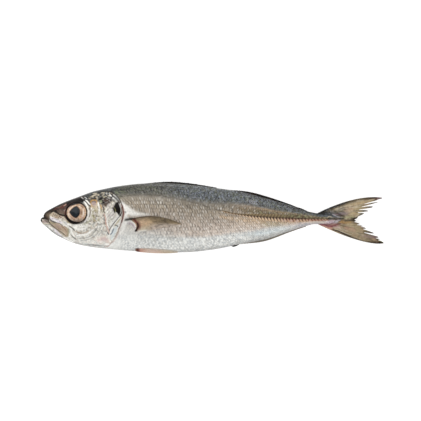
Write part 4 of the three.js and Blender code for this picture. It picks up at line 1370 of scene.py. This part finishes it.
class FISH_OT_trunk(Operator):
    """Trunk: the scaled body from the gill opening to the tail base"""

    bl_idname = "fish.trunk"
    bl_label = "Trunk"

    def execute(self, context):
        sizes = context.scene.fish_sizes
        rows = sizes.scale_rows
        degrees = even_angles(rows * AROUND, TRUNK_SECTION)
        edge = gill_station(degrees)
        column = np.arange(-HIDDEN, sizes.scale_columns * ALONG + 1) / ALONG
        share = column / sizes.scale_columns
        base = TRUNK_START + (FLESH_LENGTH - TRUNK_START) * ((1 + NARROWING) * share - NARROWING * share**2)
        base = base[:, None] * np.ones_like(degrees)
        station = base + (edge - TRUNK_START) * fade(base, TRUNK_START, 104)
        away = section(base, degrees)[0] - lateral_line(base)
        lean = SCALE_LEAN * smooth(base, 80, 165) * fade(base, 222, 238)
        station = np.minimum(station + lean * (np.sqrt(away**2 + 4) - 2), FLESH_LENGTH)
        height, side = section(station, degrees)
        points = np.stack([station, height, side], axis=-1)
        coat = Coat(points, context.scene.fish_colours, 31)
        paint_base(coat)
        behind = station - edge
        coat.mottle("white", 0.15, 1.2, smooth(station, 75, 90))
        coat.mottle("hatch", 0.3, 1.3, smooth(station, 75, 90) * fade(station, 170, 200))
        paint_trunk(coat)
        column = column[:, None] * np.ones_like(degrees)
        row = np.arange(rows * AROUND)[None] / AROUND + np.zeros_like(column)
        paint_scales(coat, column, row, rows, sizes)
        coat.mottle("hatch", 0.35, 0.8, smooth(station, 150, 170) * bump(away - 3, 3))
        coat.mottle("hatch", 0.5, 0.9, smooth(station, 150, 170) * bump(away - 3.5, 3.5))
        coat.mottle("fleck", 0.5, 0.8, smooth(station, 160, 175) * bump(away - 2.5, 2.5))
        paint_shoulder(coat)
        paint_tail_base(coat)
        coat.grain(0.14, 1.0)
        # Painted shade: dark brown in the gap just behind the gill cover's edge, in its upper part.
        coat.fill("umber", 0.8 * fade(behind, 0, 0.9) * slit(height) * smooth(height, 6, 12))
        coat.relief -= (0.9 * slit(height) + 0.25) * fade(behind, -1.2, 0.6)
        coat.relief += keel_rise(station) * bump(height - lateral_line(station), 1.1)
        laid = points + outward(points) * coat.relief[..., None]
        piece("trunk_skin", mesh_of("trunk_skin", lay(laid), coat.tint), skin_material(), "skin", "body")
        return {"FINISHED"}


class FISH_OT_scutes(Operator):
    """Keeled scales along the rear of the lateral line, on both sides"""

    bl_idname = "fish.scutes"
    bl_label = "Keeled scales"

    def execute(self, context):
        sizes, colours = context.scene.fish_sizes, context.scene.fish_colours
        first, last = SCUTE_ROW
        count = int((last - first) * MM / sizes.scute_pitch)
        station = np.linspace(first, last, count)
        height = lateral_line(station)
        places, outs, backs, grown = [], [], [], []
        for hand in (1, -1):
            for s, h in zip(station, height):
                ahead, up = 1.0, 0.6
                here = np.array([s, h, hand * flank(s, h)])
                next_height = lateral_line(s + ahead)
                along = np.array([s + ahead, next_height, hand * flank(s + ahead, next_height)]) - here
                rise = np.array([s, h + up, hand * flank(s, h + up)]) - here
                out = np.cross(along, rise)
                out *= hand / np.linalg.norm(out) * np.sign(out[2] * hand)
                out = out if out[2] * hand > 0 else -out
                swell = smooth(s, first - 8, 188) * (1 - 0.55 * smooth(s, 200, last))
                bend = np.array([0, 0, float(spine(s + ahead) - spine(s))])
                places.append(lay(here + out * (keel_rise(s) * 0.9 + 0.05)))
                outs.append(out)
                backs.append(along + bend)
                grown.append((1, max(swell, 0.25), 0.5 + 0.5 * swell))
        mesh = bpy.data.meshes.new("scute points")
        mesh.from_pydata(np.array(places), [], [])
        for name, values in (("out", outs), ("tailward", backs), ("size", grown)):
            layer = mesh.attributes.new(name, "FLOAT_VECTOR", "POINT")
            layer.data.foreach_set("vector", np.array(values, np.float32).ravel())
        shape = bpy.data.objects.new("scute shape", self.one_scute(sizes, colours))
        material = scute_material()
        result = grown_mesh("scutes", mesh, scutes_tree(), Scale_piece=shape, Size=1.0, Material=material)
        bpy.data.objects.remove(shape)
        self.redden(result, colours)
        piece("scutes", result, None, "skin")
        return {"FINISHED"}

    def redden(self, mesh, colours):
        """Towards the tail the plates are darker and blood-red."""
        places, tints = np.empty(len(mesh.vertices) * 3), np.empty(len(mesh.vertices) * 4)
        mesh.vertices.foreach_get("co", places)
        mesh.color_attributes["tint"].data.foreach_get("color", tints)
        coat = Coat((places.reshape(-1, 3) - ORIGIN) / MM, colours, 91)
        coat.tint = tints.reshape(-1, 4)[:, :3]
        rise, rear = coat.height - lateral_line(coat.station), smooth(coat.station, 186, 206)
        coat.fill("smoke", 0.6 * rear * smooth(rise, 0.3, 0.9))
        coat.mottle("fleck", 0.5, 1.2, rear * smooth(rise, 0.5, 1.2))
        coat.fill("rust", 0.6 * rear * fade(rise, -0.6, 0) * (1 - 0.6 * bump(coat.station - 209, 6)))
        coat.mottle("blush", 0.7, 1.3, rear * fade(rise, -1.6, -0.8))
        coat.fill("ink", 0.5 * rear * bump(rise - 0.1, 0.4))
        coat.mottle("peach", 0.35, 1.1, rear * bump(rise - 0.1, 0.8))
        paint_mesh(mesh, coat.tint)

    def one_scute(self, sizes, colours):
        """One plate, swept back from its keel, at the origin: +X to the tail, +Y to the back, +Z outwards."""
        tall, long = sizes.scute_height / MM, sizes.scute_pitch / MM * 1.3
        across, along = np.meshgrid(np.linspace(-1, 1, 15), np.linspace(0, 1, 8))
        lean = 0.8 * np.abs(across) * tall / 2
        x = (along - 0.4) * long * (1 - 0.35 * np.abs(across) ** 2) + lean
        x += 0.5 * bump(across, 0.2) * (along == 1)
        y = across * tall / 2
        z = 0.3 * bump(across, 0.28) * lerp(0.5, 1, along) + 0.16 * along - 0.55 * np.abs(across) ** 2
        upper = np.stack([x, y, z], axis=-1)
        lower = np.stack([x, y, z - 0.25], axis=-1)
        tint = lerp(np.array(colours.peach), np.array(colours.gold), smooth(across, -0.05, 0.1)[..., None])
        rear = smooth(along, 0.5, 0.8) * (1 - 0.45 * (across > 0.1) - 0.4 * smooth(-across, 0.3, 1))
        keel = 0.58 * bump(across - 0.02, 0.24)
        dark = 0.25 * bump(across, 0.3) * smooth(along, 0.4, 0.7)
        for colour, share in ((colours.umber, rear), (colours.umber, keel), (colours.ink, dark)):
            tint = lerp(tint, np.array(colour), share[..., None])
        mesh = mesh_of("scute", join_rings(upper, lower) * MM, join_rings(tint, tint))
        right_way_out(mesh)
        return mesh


class FISH_OT_eyes(Operator):
    """Eyes: a large pupil in a flecked peach iris, under the wet dome of the cornea"""

    bl_idname = "fish.eyes"
    bl_label = "Eyes"

    def execute(self, context):
        sizes, colours = context.scene.fish_sizes, context.scene.fish_colours
        material = eye_material()
        for hand, side in ((1, "left"), (-1, "right")):
            facing = eye_place(hand)[1]
            turn = Vector((0, 0, 1)).rotation_difference(Vector(facing)).to_matrix()
            low, high = (np.array(corner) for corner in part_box(f"{side}_eye"))
            around = np.radians(np.arange(0, 360, 3))
            r, z = self.profile(sizes)
            up = np.outer(r, np.cos(around))
            bent = z[:, None] - EYE_BEND * (up / EYE["radius"]) ** 2
            ring = np.stack([EYE_STRETCH * np.outer(r, np.sin(around)), up, bent], -1)
            placed = ring @ np.array(turn).T * MM + (low + high) / 2
            name = f"{side}_eyeball"
            mesh = mesh_of(name, placed, self.tint(around, r, sizes, colours))
            right_way_out(mesh)
            piece(name, mesh, material, "eye", f"{side}_eye")
        return {"FINISHED"}

    def profile(self, sizes):
        """Radius and height of the eyeball's rings: a proud lens, the domed iris and the ball behind."""
        pupil, iris, ball = sizes.pupil_radius / MM, sizes.iris_radius / MM, EYE["radius"] + 0.05
        r = np.concatenate([np.linspace(0.1, iris, 60), [ball]])
        dome = EYE["depth"] - EYEBALL["dome"] * (1 - np.sqrt(1 - (r / EYEBALL["dome_radius"]) ** 2))
        front = np.stack([r, dome - 0.25 * smooth(r, pupil - 0.3, pupil + 0.5) * fade(r, iris - 1, iris)])
        angle = np.linspace(0.3, 1.54, 12)
        behind = np.stack([ball * np.cos(angle), -EYEBALL["back"] * np.sin(angle)])
        return np.concatenate([front, behind], axis=1)

    def tint(self, around, r, sizes, colours):
        """Colours of the eye, as seen from its front: up is the back, right is the tail."""
        pupil, iris = sizes.pupil_radius / MM, sizes.iris_radius / MM
        a, r = np.meshgrid(around, r)
        x, y = r * np.sin(a), r * np.cos(a)
        in_x, in_y = x + 1.15, y - 0.45
        leaned = np.abs(in_x - 0.2 * np.abs(in_y)) / 0.96
        near = (leaned**1.6 + (np.abs(in_y) / 1.08) ** 1.6) ** (1 / 1.6)
        spot = np.stack([x, y, np.zeros_like(x)], axis=-1)
        edge = pupil + 0.3 * (noise(spot, 1.5, 5) - 0.5)
        tint = np.multiply.outer(np.ones_like(r), np.array(colours.iris))

        def mix(name, share):
            nonlocal tint
            tint = lerp(tint, np.array(getattr(colours, name)), np.clip(share, 0, 1)[..., None])

        def arc(name, share, at, width, degrees, power):
            """Part of a ring round the eye's centre; 0 degrees is the top, 90 the tail side."""
            mix(name, share * bump(r - at, width) * np.clip(np.cos(a - np.radians(degrees)), 0, 1) ** power)

        def spotted(name, share, at_x, at_y, wide, high):
            mix(name, share * bump(np.hypot((x - at_x) / wide, (y - at_y) / high), 1))

        streaks = noise(np.stack([a * 9, r * 0.9, np.zeros_like(r)], axis=-1), 1.0, 9)
        mix("shell", 0.5 * smooth(streaks, 0.5, 0.9))
        mix("hide", 0.35 * smooth(streaks, 0.45, 0.1))
        for row in IRIS_ARCS:
            arc(*row)
        for row in IRIS_SPOTS:
            spotted(*row)
        mix("iris_shade", 0.7 * bump(near - edge - 0.2, 0.3))
        mix("pupil", fade(near, edge - 0.25, edge + 0.1))
        mix("bluing", 0.08 * fade(near, edge - 1.4, edge - 0.6) * smooth(noise(spot, 1.6, 4), 0.45, 0.75))
        mix("ink", 0.7 * bump(near - edge + 0.3, 0.35))
        mix("umber", 0.9 * smooth(r, iris - 0.75, iris - 0.3) * np.clip(np.sin(a), 0, 1))
        above = np.clip(np.cos(a - np.radians(345)), 0, 1) ** 6
        under = np.clip(np.cos(a - np.radians(200)), 0, 1) ** 2
        mix("ink", smooth(r + 1.1 * above, 7.5, 7.95))
        mix("ink", smooth(r + 0.9 * under, iris - 0.2, iris + 0.1))
        return tint


def fin_looks():
    """The web's and the rays' materials, and the tree that sweeps the rays."""
    return web_material(), ray_material(), rays_tree()


def fin(name, upper, lower, coat, lines, looks):
    """A web with its rays: two faces of scene points, the web's coat, and the rays' lines."""
    web, ray, tree = looks
    mesh = mesh_of(name + "_web", join_rings(upper, lower), join_rings(coat.tint, coat.tint))
    right_way_out(mesh)
    piece(name + "_web", mesh, web, "skin", "body")
    if lines:
        rods = grown_mesh(name + "_rays", lines_mesh(lines), tree, Sides=6, Fatness=1.0, Material=ray)
        piece(name + "_rays", rods, None, "skin", "body")


class FISH_OT_tail_fin(Operator):
    """Tail fin: a forked web with frayed tips on branching rays"""

    bl_idname = "fish.tail_fin"
    bl_label = "Tail fin"

    def place(self, across, share):
        """Station and height of a point of the tail, from its root (0) to its ray tips (1)."""
        across = across + tail_bend(across) * np.clip((share - 0.72) / 0.3, 0, 1.2) ** 1.3
        top, middle, bottom = (bezier(TAIL[key], share) for key in ("top", "middle", "bottom"))
        lobe = np.abs(2 * across - 1)[..., None]
        return lerp(middle, np.where((across < 0.5)[..., None], top, bottom), lobe)

    def thickness(self, across, share):
        lobe = np.abs(2 * across - 1)
        return lerp(TAIL["root"], TAIL["tip"], share) * lerp(1, TAIL["edge_share"], lobe**8)

    def reach(self, across):
        """Share of the fin's length that the web keeps at each place, in bundles with round tips."""
        keep = np.full_like(across, TAIL_EDGE[-1][1])
        for (a, at_a), (b, at_b) in zip(TAIL_EDGE, TAIL_EDGE[1:]):
            t = (across - a) / (b - a) if at_b > at_a else (b - across) / (b - a)
            side = lerp(min(at_a, at_b), max(at_a, at_b), 1 - (1 - np.clip((t - 0.15) / 0.85, 0, 1)) ** 2.2)
            keep = np.where((across >= a) & (across < b), side, keep)
        return keep

    def execute(self, context):
        sizes, colours = context.scene.fish_sizes, context.scene.fish_colours
        steps = np.linspace(0, 1, 9, endpoint=False)
        across = []
        for (a, at_a), (b, at_b) in zip(TAIL_EDGE, TAIL_EDGE[1:]):
            across.append(lerp(a, b, steps**2 if at_b > at_a else 1 - (1 - steps) ** 2))
        across = np.append(np.ravel(across), 1)
        rows = np.linspace(0, 1, 72)
        share = rows[:, None] * self.reach(across)
        wide = across[None] + np.zeros_like(share)
        flat = self.place(wide, share)
        thick = self.thickness(wide, share)
        web = 0.42 * lerp(1, 0.6, smooth(share, 0.1, 0.5))
        sides = [lay(at_side(flat, h * web * thick / 2)) for h in (1, -1)]
        coat = self.painted(flat, wide, share, colours)
        fin("tail_fin", *sides, coat, self.rays(sizes, colours), fin_looks())
        return {"FINISHED"}

    def painted(self, place, across, share, colours):
        """The coat of the web or the rays: tan and barred, with dark edges and tips and an ochre fork."""
        coat = Coat(at_side(place, 0), colours, 51, 0.25)
        lobe = np.abs(2 * across - 1)
        inner = smooth(share, 0.1, 0.3) * fade(share, 0.6, 0.9)
        coat.fill("horn")
        coat.fill("tan", 0.5 * (across > 0.5))
        coat.mottle("olive", 0.4, 3.0)
        stretched = np.stack([across * 75, share * 6, np.zeros_like(share)], -1)
        streaks = [noise(stretched, 1.0, seed) for seed in (61, 62)]
        joints = 0.5 + 0.5 * np.cos(2 * np.pi * (share * 26 + 5 * lobe))
        coat.fill("smoke", 0.75 * smooth(streaks[0], 0.5, 0.8) * smooth(share, 0.1, 0.3))
        coat.fill("cream", 0.75 * smooth(streaks[1], 0.5, 0.8) * inner)
        coat.fill("smoke", 0.35 * joints**2 * inner)
        coat.fill("slate", 0.75 * smooth(share, 0.84, 0.97))
        coat.patch("dusk", 0.8, (247, -1.4), (10, 4.2))
        coat.area("smoke", 0.35, DUSKY_LOBE, 3.0)
        coat.patch("mauve", 0.45, (243.5, 3.2), (5, 1.6), turn=5)
        coat.mottle("slate", 0.7, 1.2, coat.oval(239, 3.5, 8, 3))
        coat.mottle("smoke", 0.5, 1.6, smooth(share, 0.3, 0.6) * (across > 0.5))
        coat.mottle("umber", 0.7, 1.6, smooth(coat.x, 255, 266))
        coat.mottle("cream", 0.5, 1.2, inner * (across < 0.5))
        coat.fill("umber", 0.18 * (across > 0.5))
        coat.strokes(TAIL_LOBES, 0.4)
        paint_tail_base(coat)
        return coat

    def rays(self, sizes, colours):
        """Each bundle's rays fan out evenly, fork half-way and end in the frayed tips."""
        lines = []
        threes = zip(TAIL_EDGE, TAIL_EDGE[1:], TAIL_EDGE[2:])
        notches = [0, *(b[0] for a, b, c in threes if b[1] < min(a[1], c[1])), 1]
        for low, high in zip(notches, notches[1:]):
            count = max(round((high - low) * sizes.tail_rays), 1)
            for i, side in product(range(count), (-1, 1)):
                end = self.reach(lerp(low, high, np.array([(i + 0.5 + 0.26 * side) / count])))[0] - 0.012
                share = np.linspace(0.22 if side > 0 else 0.35, end, 30)
                across = lerp(low, high, (i + 0.5 + 0.26 * side * smooth(share, 0.35, 0.8)) / count)
                place = self.place(across, share)
                coat = self.painted(place[None], across[None], share[None], colours)
                coat.fill("straw", 0.3 * smooth(share, 0.3, 0.55) * fade(share, 0.7, 0.9))
                thick = self.thickness(across, share) * lerp(0.28, 0.13, share)
                lines.append((lay(at_side(place, 0)), thick, coat.tint[0]))
        return lines


class FISH_OT_paired_fins(Operator):
    """Pectoral fins laid back on the flanks and pelvic fins folded along the belly"""

    bl_idname = "fish.paired_fins"
    bl_label = "Pectoral and pelvic fins"

    def execute(self, context):
        sizes, colours = context.scene.fish_sizes, context.scene.fish_colours
        looks = fin_looks()
        for hand, side in ((1, "left"), (-1, "right")):
            self.pectoral(f"{side}_pectoral", hand, sizes, colours, looks)
            self.pelvic(f"{side}_pelvic", hand, sizes, colours, looks)
        return {"FINISHED"}

    def pectoral_place(self, across, along):
        place = lerp(bezier(PECTORAL["top"], along), bezier(PECTORAL["bottom"], along), across[..., None])
        place[..., 0] += PECTORAL["root_bow"] * np.sin(np.pi * across) * (1 - along) ** 3
        return place

    def pectoral(self, name, hand, sizes, colours, looks):
        across, along = np.meshgrid(np.linspace(0, 1, 90), np.linspace(0, 1, 110))
        place = self.pectoral_place(across, along)
        reach = flank(place[..., 0], place[..., 1])
        ridges = 0.1 * np.cos(2 * np.pi * across * sizes.pectoral_rays) * smooth(along, 0, 0.15)
        lift = PECTORAL["thickness"] - PECTORAL["sink"]
        root = 0.35 * bump(along, 0.1)
        low = 1 - 0.8 * smooth(across, 0.7, 1)
        up = lay(at_side(place, hand * (reach + lift * 0.75 * low + ridges + root)))
        down = lay(at_side(place, hand * (reach - 0.3)))
        thin = np.abs(down[..., 2] - up[..., 2]) < 0.1 * MM
        down[..., 2] = np.where(thin, up[..., 2] - hand * 0.2 * MM, down[..., 2])
        coat = self.pectoral_coat(place, across, along, colours)
        between = 0.15 - 0.15 * np.cos(2 * np.pi * across * sizes.pectoral_rays)
        coat.fill("umber", between * smooth(along, 0.15, 0.4))
        lines = []
        for i in range(sizes.pectoral_rays):
            at = (i + 0.5) / sizes.pectoral_rays
            share = np.linspace(0.04, 0.985, 26)
            p = self.pectoral_place(np.full(26, at), share)
            out = hand * (flank(p[:, 0], p[:, 1]) + lift * 0.75 * (1 - 0.8 * smooth(at, 0.7, 1)) + 0.02)
            tone = self.pectoral_coat(p[None], np.full((1, 26), at), share[None], colours).tint[0]
            lines.append((lay(at_side(p, out)), lerp(0.24, 0.08, share), tone))
        fin(name, up, down, coat, lines, looks)

    def pectoral_coat(self, place, across, along, colours):
        """Olive brown above, cream below, clear towards the tip, with a dark root."""
        coat = Coat(at_side(place, 0), colours, 61, 0.2)
        tip = smooth(along, 0.28, 0.5)
        coat.ramp(along, "0 tan .25 tan .4 horn .7 dusk 1 horn")
        coat.fill("peach", 0.75 * bump(across - 0.45, 0.25) * (1 - tip))
        coat.fill("cream", 0.85 * smooth(across, 0.5, 0.85) * (1 - tip))
        coat.fill("shell", 0.8 * smooth(across, 0.82, 1.0) * (1 - tip))
        coat.fill("silver", 0.9 * smooth(across, 0.35, 0.85) * tip)
        coat.fill("dusk", 0.85 * fade(across, 0.03, 0.3 + 0.35 * smooth(along, 0.2, 0.6)))
        coat.fill("umber", 0.75 * fade(across, 0.01, 0.1) * fade(along, 0.4, 0.6))
        coat.mottle("hatch", 0.5, 1.1, tip)
        coat.strokes(PECTORAL_FRONT, 0.4)
        coat.strokes(PECTORAL_ROOT, 0.3)
        coat.patch("ink", 0.95, (76.8, -10.4), (1.4, 0.9), turn=40)
        coat.grain(0.15, 0.9)
        return coat

    def pelvic_place(self, across, along, hand, out):
        station = lerp(PELVIC["from"], PELVIC["to"], along)
        middle = lerp(PELVIC["root_angle"], PELVIC["tip_angle"], along)
        spread = PELVIC["spread"] * np.sqrt(np.sin(np.pi * lerp(0.1, 0.98, along)))
        angle = hand * (middle + spread * (2 * across - 1))
        height, side = section(station, angle)
        turn = np.radians(angle)
        return np.stack([station, height + out * np.cos(turn), side + out * np.sin(turn)], axis=-1)

    def pelvic(self, name, hand, sizes, colours, looks):
        across, along = np.meshgrid(np.linspace(0, 1, 36), np.linspace(0, 1, 80))
        lift = PELVIC["thickness"] - PELVIC["sink"]
        ridges = 0.08 * np.cos(2 * np.pi * across * sizes.pelvic_rays)
        up = self.pelvic_place(across, along, hand, lift * 0.8 * smooth(across, -0.2, 0.5) + ridges)
        down = self.pelvic_place(across, along, hand, -PELVIC["sink"])
        coat = self.pelvic_coat(up, across, along, colours)
        coat.fill("horn", 0.25 - 0.25 * np.cos(2 * np.pi * across * sizes.pelvic_rays))
        lines = []
        for i in range(sizes.pelvic_rays):
            share = np.linspace(0.03, 0.97, 22)
            at = (i + 0.5) / sizes.pelvic_rays
            p = self.pelvic_place(np.full(22, at), share, hand, lift * 0.8 * smooth(at, -0.2, 0.5))
            tone = self.pelvic_coat(p[None], np.full((1, 22), at), share[None], colours).tint[0]
            lines.append((lay(p), lerp(0.3, 0.12, share), tone))
        fin(name, lay(up), lay(down), coat, lines, looks)

    def pelvic_coat(self, place, across, along, colours):
        """Pearl like the belly towards the flank, pink and tan along its free edge."""
        coat = Coat(place, colours, 71, 0.1)
        coat.ramp(along, "0 maroon .07 maroon .13 rose .3 blush .5 blush .8 cream 1 belly")
        coat.fill("tan", 0.45 * smooth(across, 0.55, 0.9) * smooth(along, 0.1, 0.2))
        coat.fill("pearl", fade(across, -0.2, 0.2 + 0.4 * along) * smooth(along, 0.04, 0.12))
        coat.fill("tan", 0.35 * smooth(along, 0.1, 0.2))
        coat.grain(0.15, 0.8)
        return coat


class FISH_OT_folded_fins(Operator):
    """Dorsal and anal fins folded down along the back and the belly, on their slanting spines"""

    bl_idname = "fish.folded_fins"
    bl_label = "Dorsal and anal fins"

    def execute(self, context):
        colours = context.scene.fish_colours
        looks = fin_looks()
        for name, shape in FOLDED_FINS.items():
            self.folded(name, shape, colours, looks)
        return {"FINISHED"}

    def folded(self, name, shape, colours, looks):
        start, stop, crest, thickness, peak, rays, up = shape
        edge = back if up > 0 else belly
        swell = through([(0, 0), (peak, 1), (1, FOLD["end_crest"])])

        def place(across, along, face):
            station = lerp(start, stop, along)
            tip = edge(station) + up * crest * swell(along)
            root = edge(station) - up * FOLD["root_depth"]
            thick = thickness * lerp(1, FOLD["edge_thickness"], across)
            return np.stack([station, lerp(root, tip, across), face * thick / 2], axis=-1)

        across, along = np.meshgrid(np.linspace(0, 1, 16), np.linspace(0, 1, 160))
        ridge = 1 + 0.12 * np.cos(2 * np.pi * (along * rays - across * 1.2))
        left, right = place(across, along, 0.8 * ridge), place(across, along, -0.8 * ridge)
        coat = Coat(left, colours, 81, 0.1)
        base, tip = ("back", "ink") if up > 0 else ("cream", "bronze")
        coat.ramp(across, f"0 {base} .4 {base} .62 {tip}")
        if name == "anal_spines":
            coat.fill("ink")
        coat.mottle("umber", 0.5 if up > 0 else 0.25, 1.5)
        lines = []
        for i in range(rays):
            first = i / rays
            along_ray = np.linspace(first, min(first + 1.6 / rays, 1), 10)
            climb = np.linspace(0.4, 0.98, 10)
            points = lay(place(climb, along_ray, 0.0))
            tone = np.array(getattr(colours, "ink" if up > 0 or name == "anal_spines" else "bronze"))
            lines.append((points, lerp(thickness * 0.42, thickness * 0.16, np.linspace(0, 1, 10)), tone))
        fin(name, lay(left), lay(right), coat, lines, looks)


class FISH_OT_stage(Operator):
    """Pale table, soft light from all round, and the camera straight above"""

    bl_idname = "fish.stage"
    bl_label = "Stage"

    def execute(self, context):
        sizes = context.scene.fish_sizes
        half, drop = TABLE_HALF, TABLE_DROP * MM
        mesh = bpy.data.meshes.new("table")
        corners = [(x * half, y * half, -drop) for x, y in ((-1, -1), (1, -1), (1, 1), (-1, 1))]
        mesh.from_pydata(corners, [], [(0, 1, 2, 3)])
        table = bpy.data.objects.new("table", mesh)
        context.scene.collection.objects.link(table)
        mesh.materials.append(self.table_material())
        context.scene.world = self.studio()
        for lamp in LAMPS:
            self.lamp(*lamp)
        self.camera(context, sizes)
        context.scene.view_settings.view_transform = "Standard"
        return {"FINISHED"}

    def table_material(self):
        """Opal light table: matt white, lit a little from below so that the fish casts next to no shadow."""
        material, tree, shader = new_material("Opal light table", Roughness=0.9)
        place = add(tree, "ShaderNodeTexCoord")
        fibre = add(
            tree, "ShaderNodeTexNoise", {}, {"Vector": place.outputs["Object"], "Scale": 1 / (2 * MM)}
        )
        tone = add(tree, "ShaderNodeMapRange", {}, {0: fibre.outputs[0], 3: 0.5, 4: 0.54})
        tree.links.new(tone.outputs[0], shader.inputs["Base Color"])
        shader.inputs["Emission Color"].default_value = (1, 1, 1, 1)
        shader.inputs["Emission Strength"].default_value = 0.68
        return material

    def studio(self):
        """Pale walls and a dark ceiling, so that the wet skin shines at its edges and stays deep on top."""
        world = bpy.data.worlds.new("Studio walls")
        world.use_nodes = True
        tree = world.node_tree
        way = add(tree, "ShaderNodeTexCoord")
        rise = add(tree, "ShaderNodeSeparateXYZ", {}, {0: way.outputs["Generated"]})
        walls = {0: rise.outputs[2], 1: 0.35, 2: 0.95, 3: 1.25, 4: 0.15}
        level = add(tree, "ShaderNodeMapRange", {"interpolation_type": "SMOOTHSTEP"}, walls)
        tree.links.new(level.outputs[0], tree.nodes["Background"].inputs["Color"])
        return world

    def lamp(self, name, place, size, power):
        light = bpy.data.lights.new(name, "AREA")
        light.size = size
        light.energy = power
        lamp = bpy.data.objects.new(name, light)
        lamp.location = place
        lamp.rotation_euler = (-Vector(place)).to_track_quat("-Z", "Y").to_euler()
        bpy.context.scene.collection.objects.link(lamp)

    def camera(self, context, sizes):
        lens = bpy.data.cameras.new("camera")
        lens.lens = sizes.camera_lens
        lens.clip_end = 10
        camera = bpy.data.objects.new("camera", lens)
        over = np.array(VIEW_CENTRE) * MM + ORIGIN[:2]
        camera.location = (over[0], over[1], sizes.camera_height)
        context.scene.collection.objects.link(camera)
        context.scene.camera = camera


PIECES = (
    FISH_OT_head, FISH_OT_trunk, FISH_OT_scutes, FISH_OT_eyes, FISH_OT_tail_fin, FISH_OT_paired_fins,
    FISH_OT_folded_fins, FISH_OT_stage,
)


class FISH_PT_panel(Panel):
    """The steps that build the fish, and its main sizes"""

    bl_idname = "FISH_PT_panel"
    bl_label = "Whole Raw Scad"
    bl_space_type = "VIEW_3D"
    bl_region_type = "UI"
    bl_category = "Fish"

    def draw(self, context):
        for operator in PIECES:
            self.layout.operator(operator.bl_idname)
        for group in (context.scene.fish_sizes, context.scene.fish_colours):
            for name in group.__annotations__:
                self.layout.prop(group, name)


CLASSES = (FishColours, FishSizes, *PIECES, FISH_PT_panel)


def register():
    for kind in CLASSES:
        bpy.utils.register_class(kind)
    bpy.types.Scene.fish_colours = PointerProperty(type=FishColours)
    bpy.types.Scene.fish_sizes = PointerProperty(type=FishSizes)


def unregister():
    del bpy.types.Scene.fish_sizes
    del bpy.types.Scene.fish_colours
    for kind in reversed(CLASSES):
        bpy.utils.unregister_class(kind)


def main():
    register()
    bpy.ops.fish.head()
    bpy.ops.fish.trunk()
    bpy.ops.fish.scutes()
    bpy.ops.fish.eyes()
    bpy.ops.fish.tail_fin()
    bpy.ops.fish.paired_fins()
    bpy.ops.fish.folded_fins()
    bpy.ops.fish.stage()


if __name__ == "__main__":
    main()
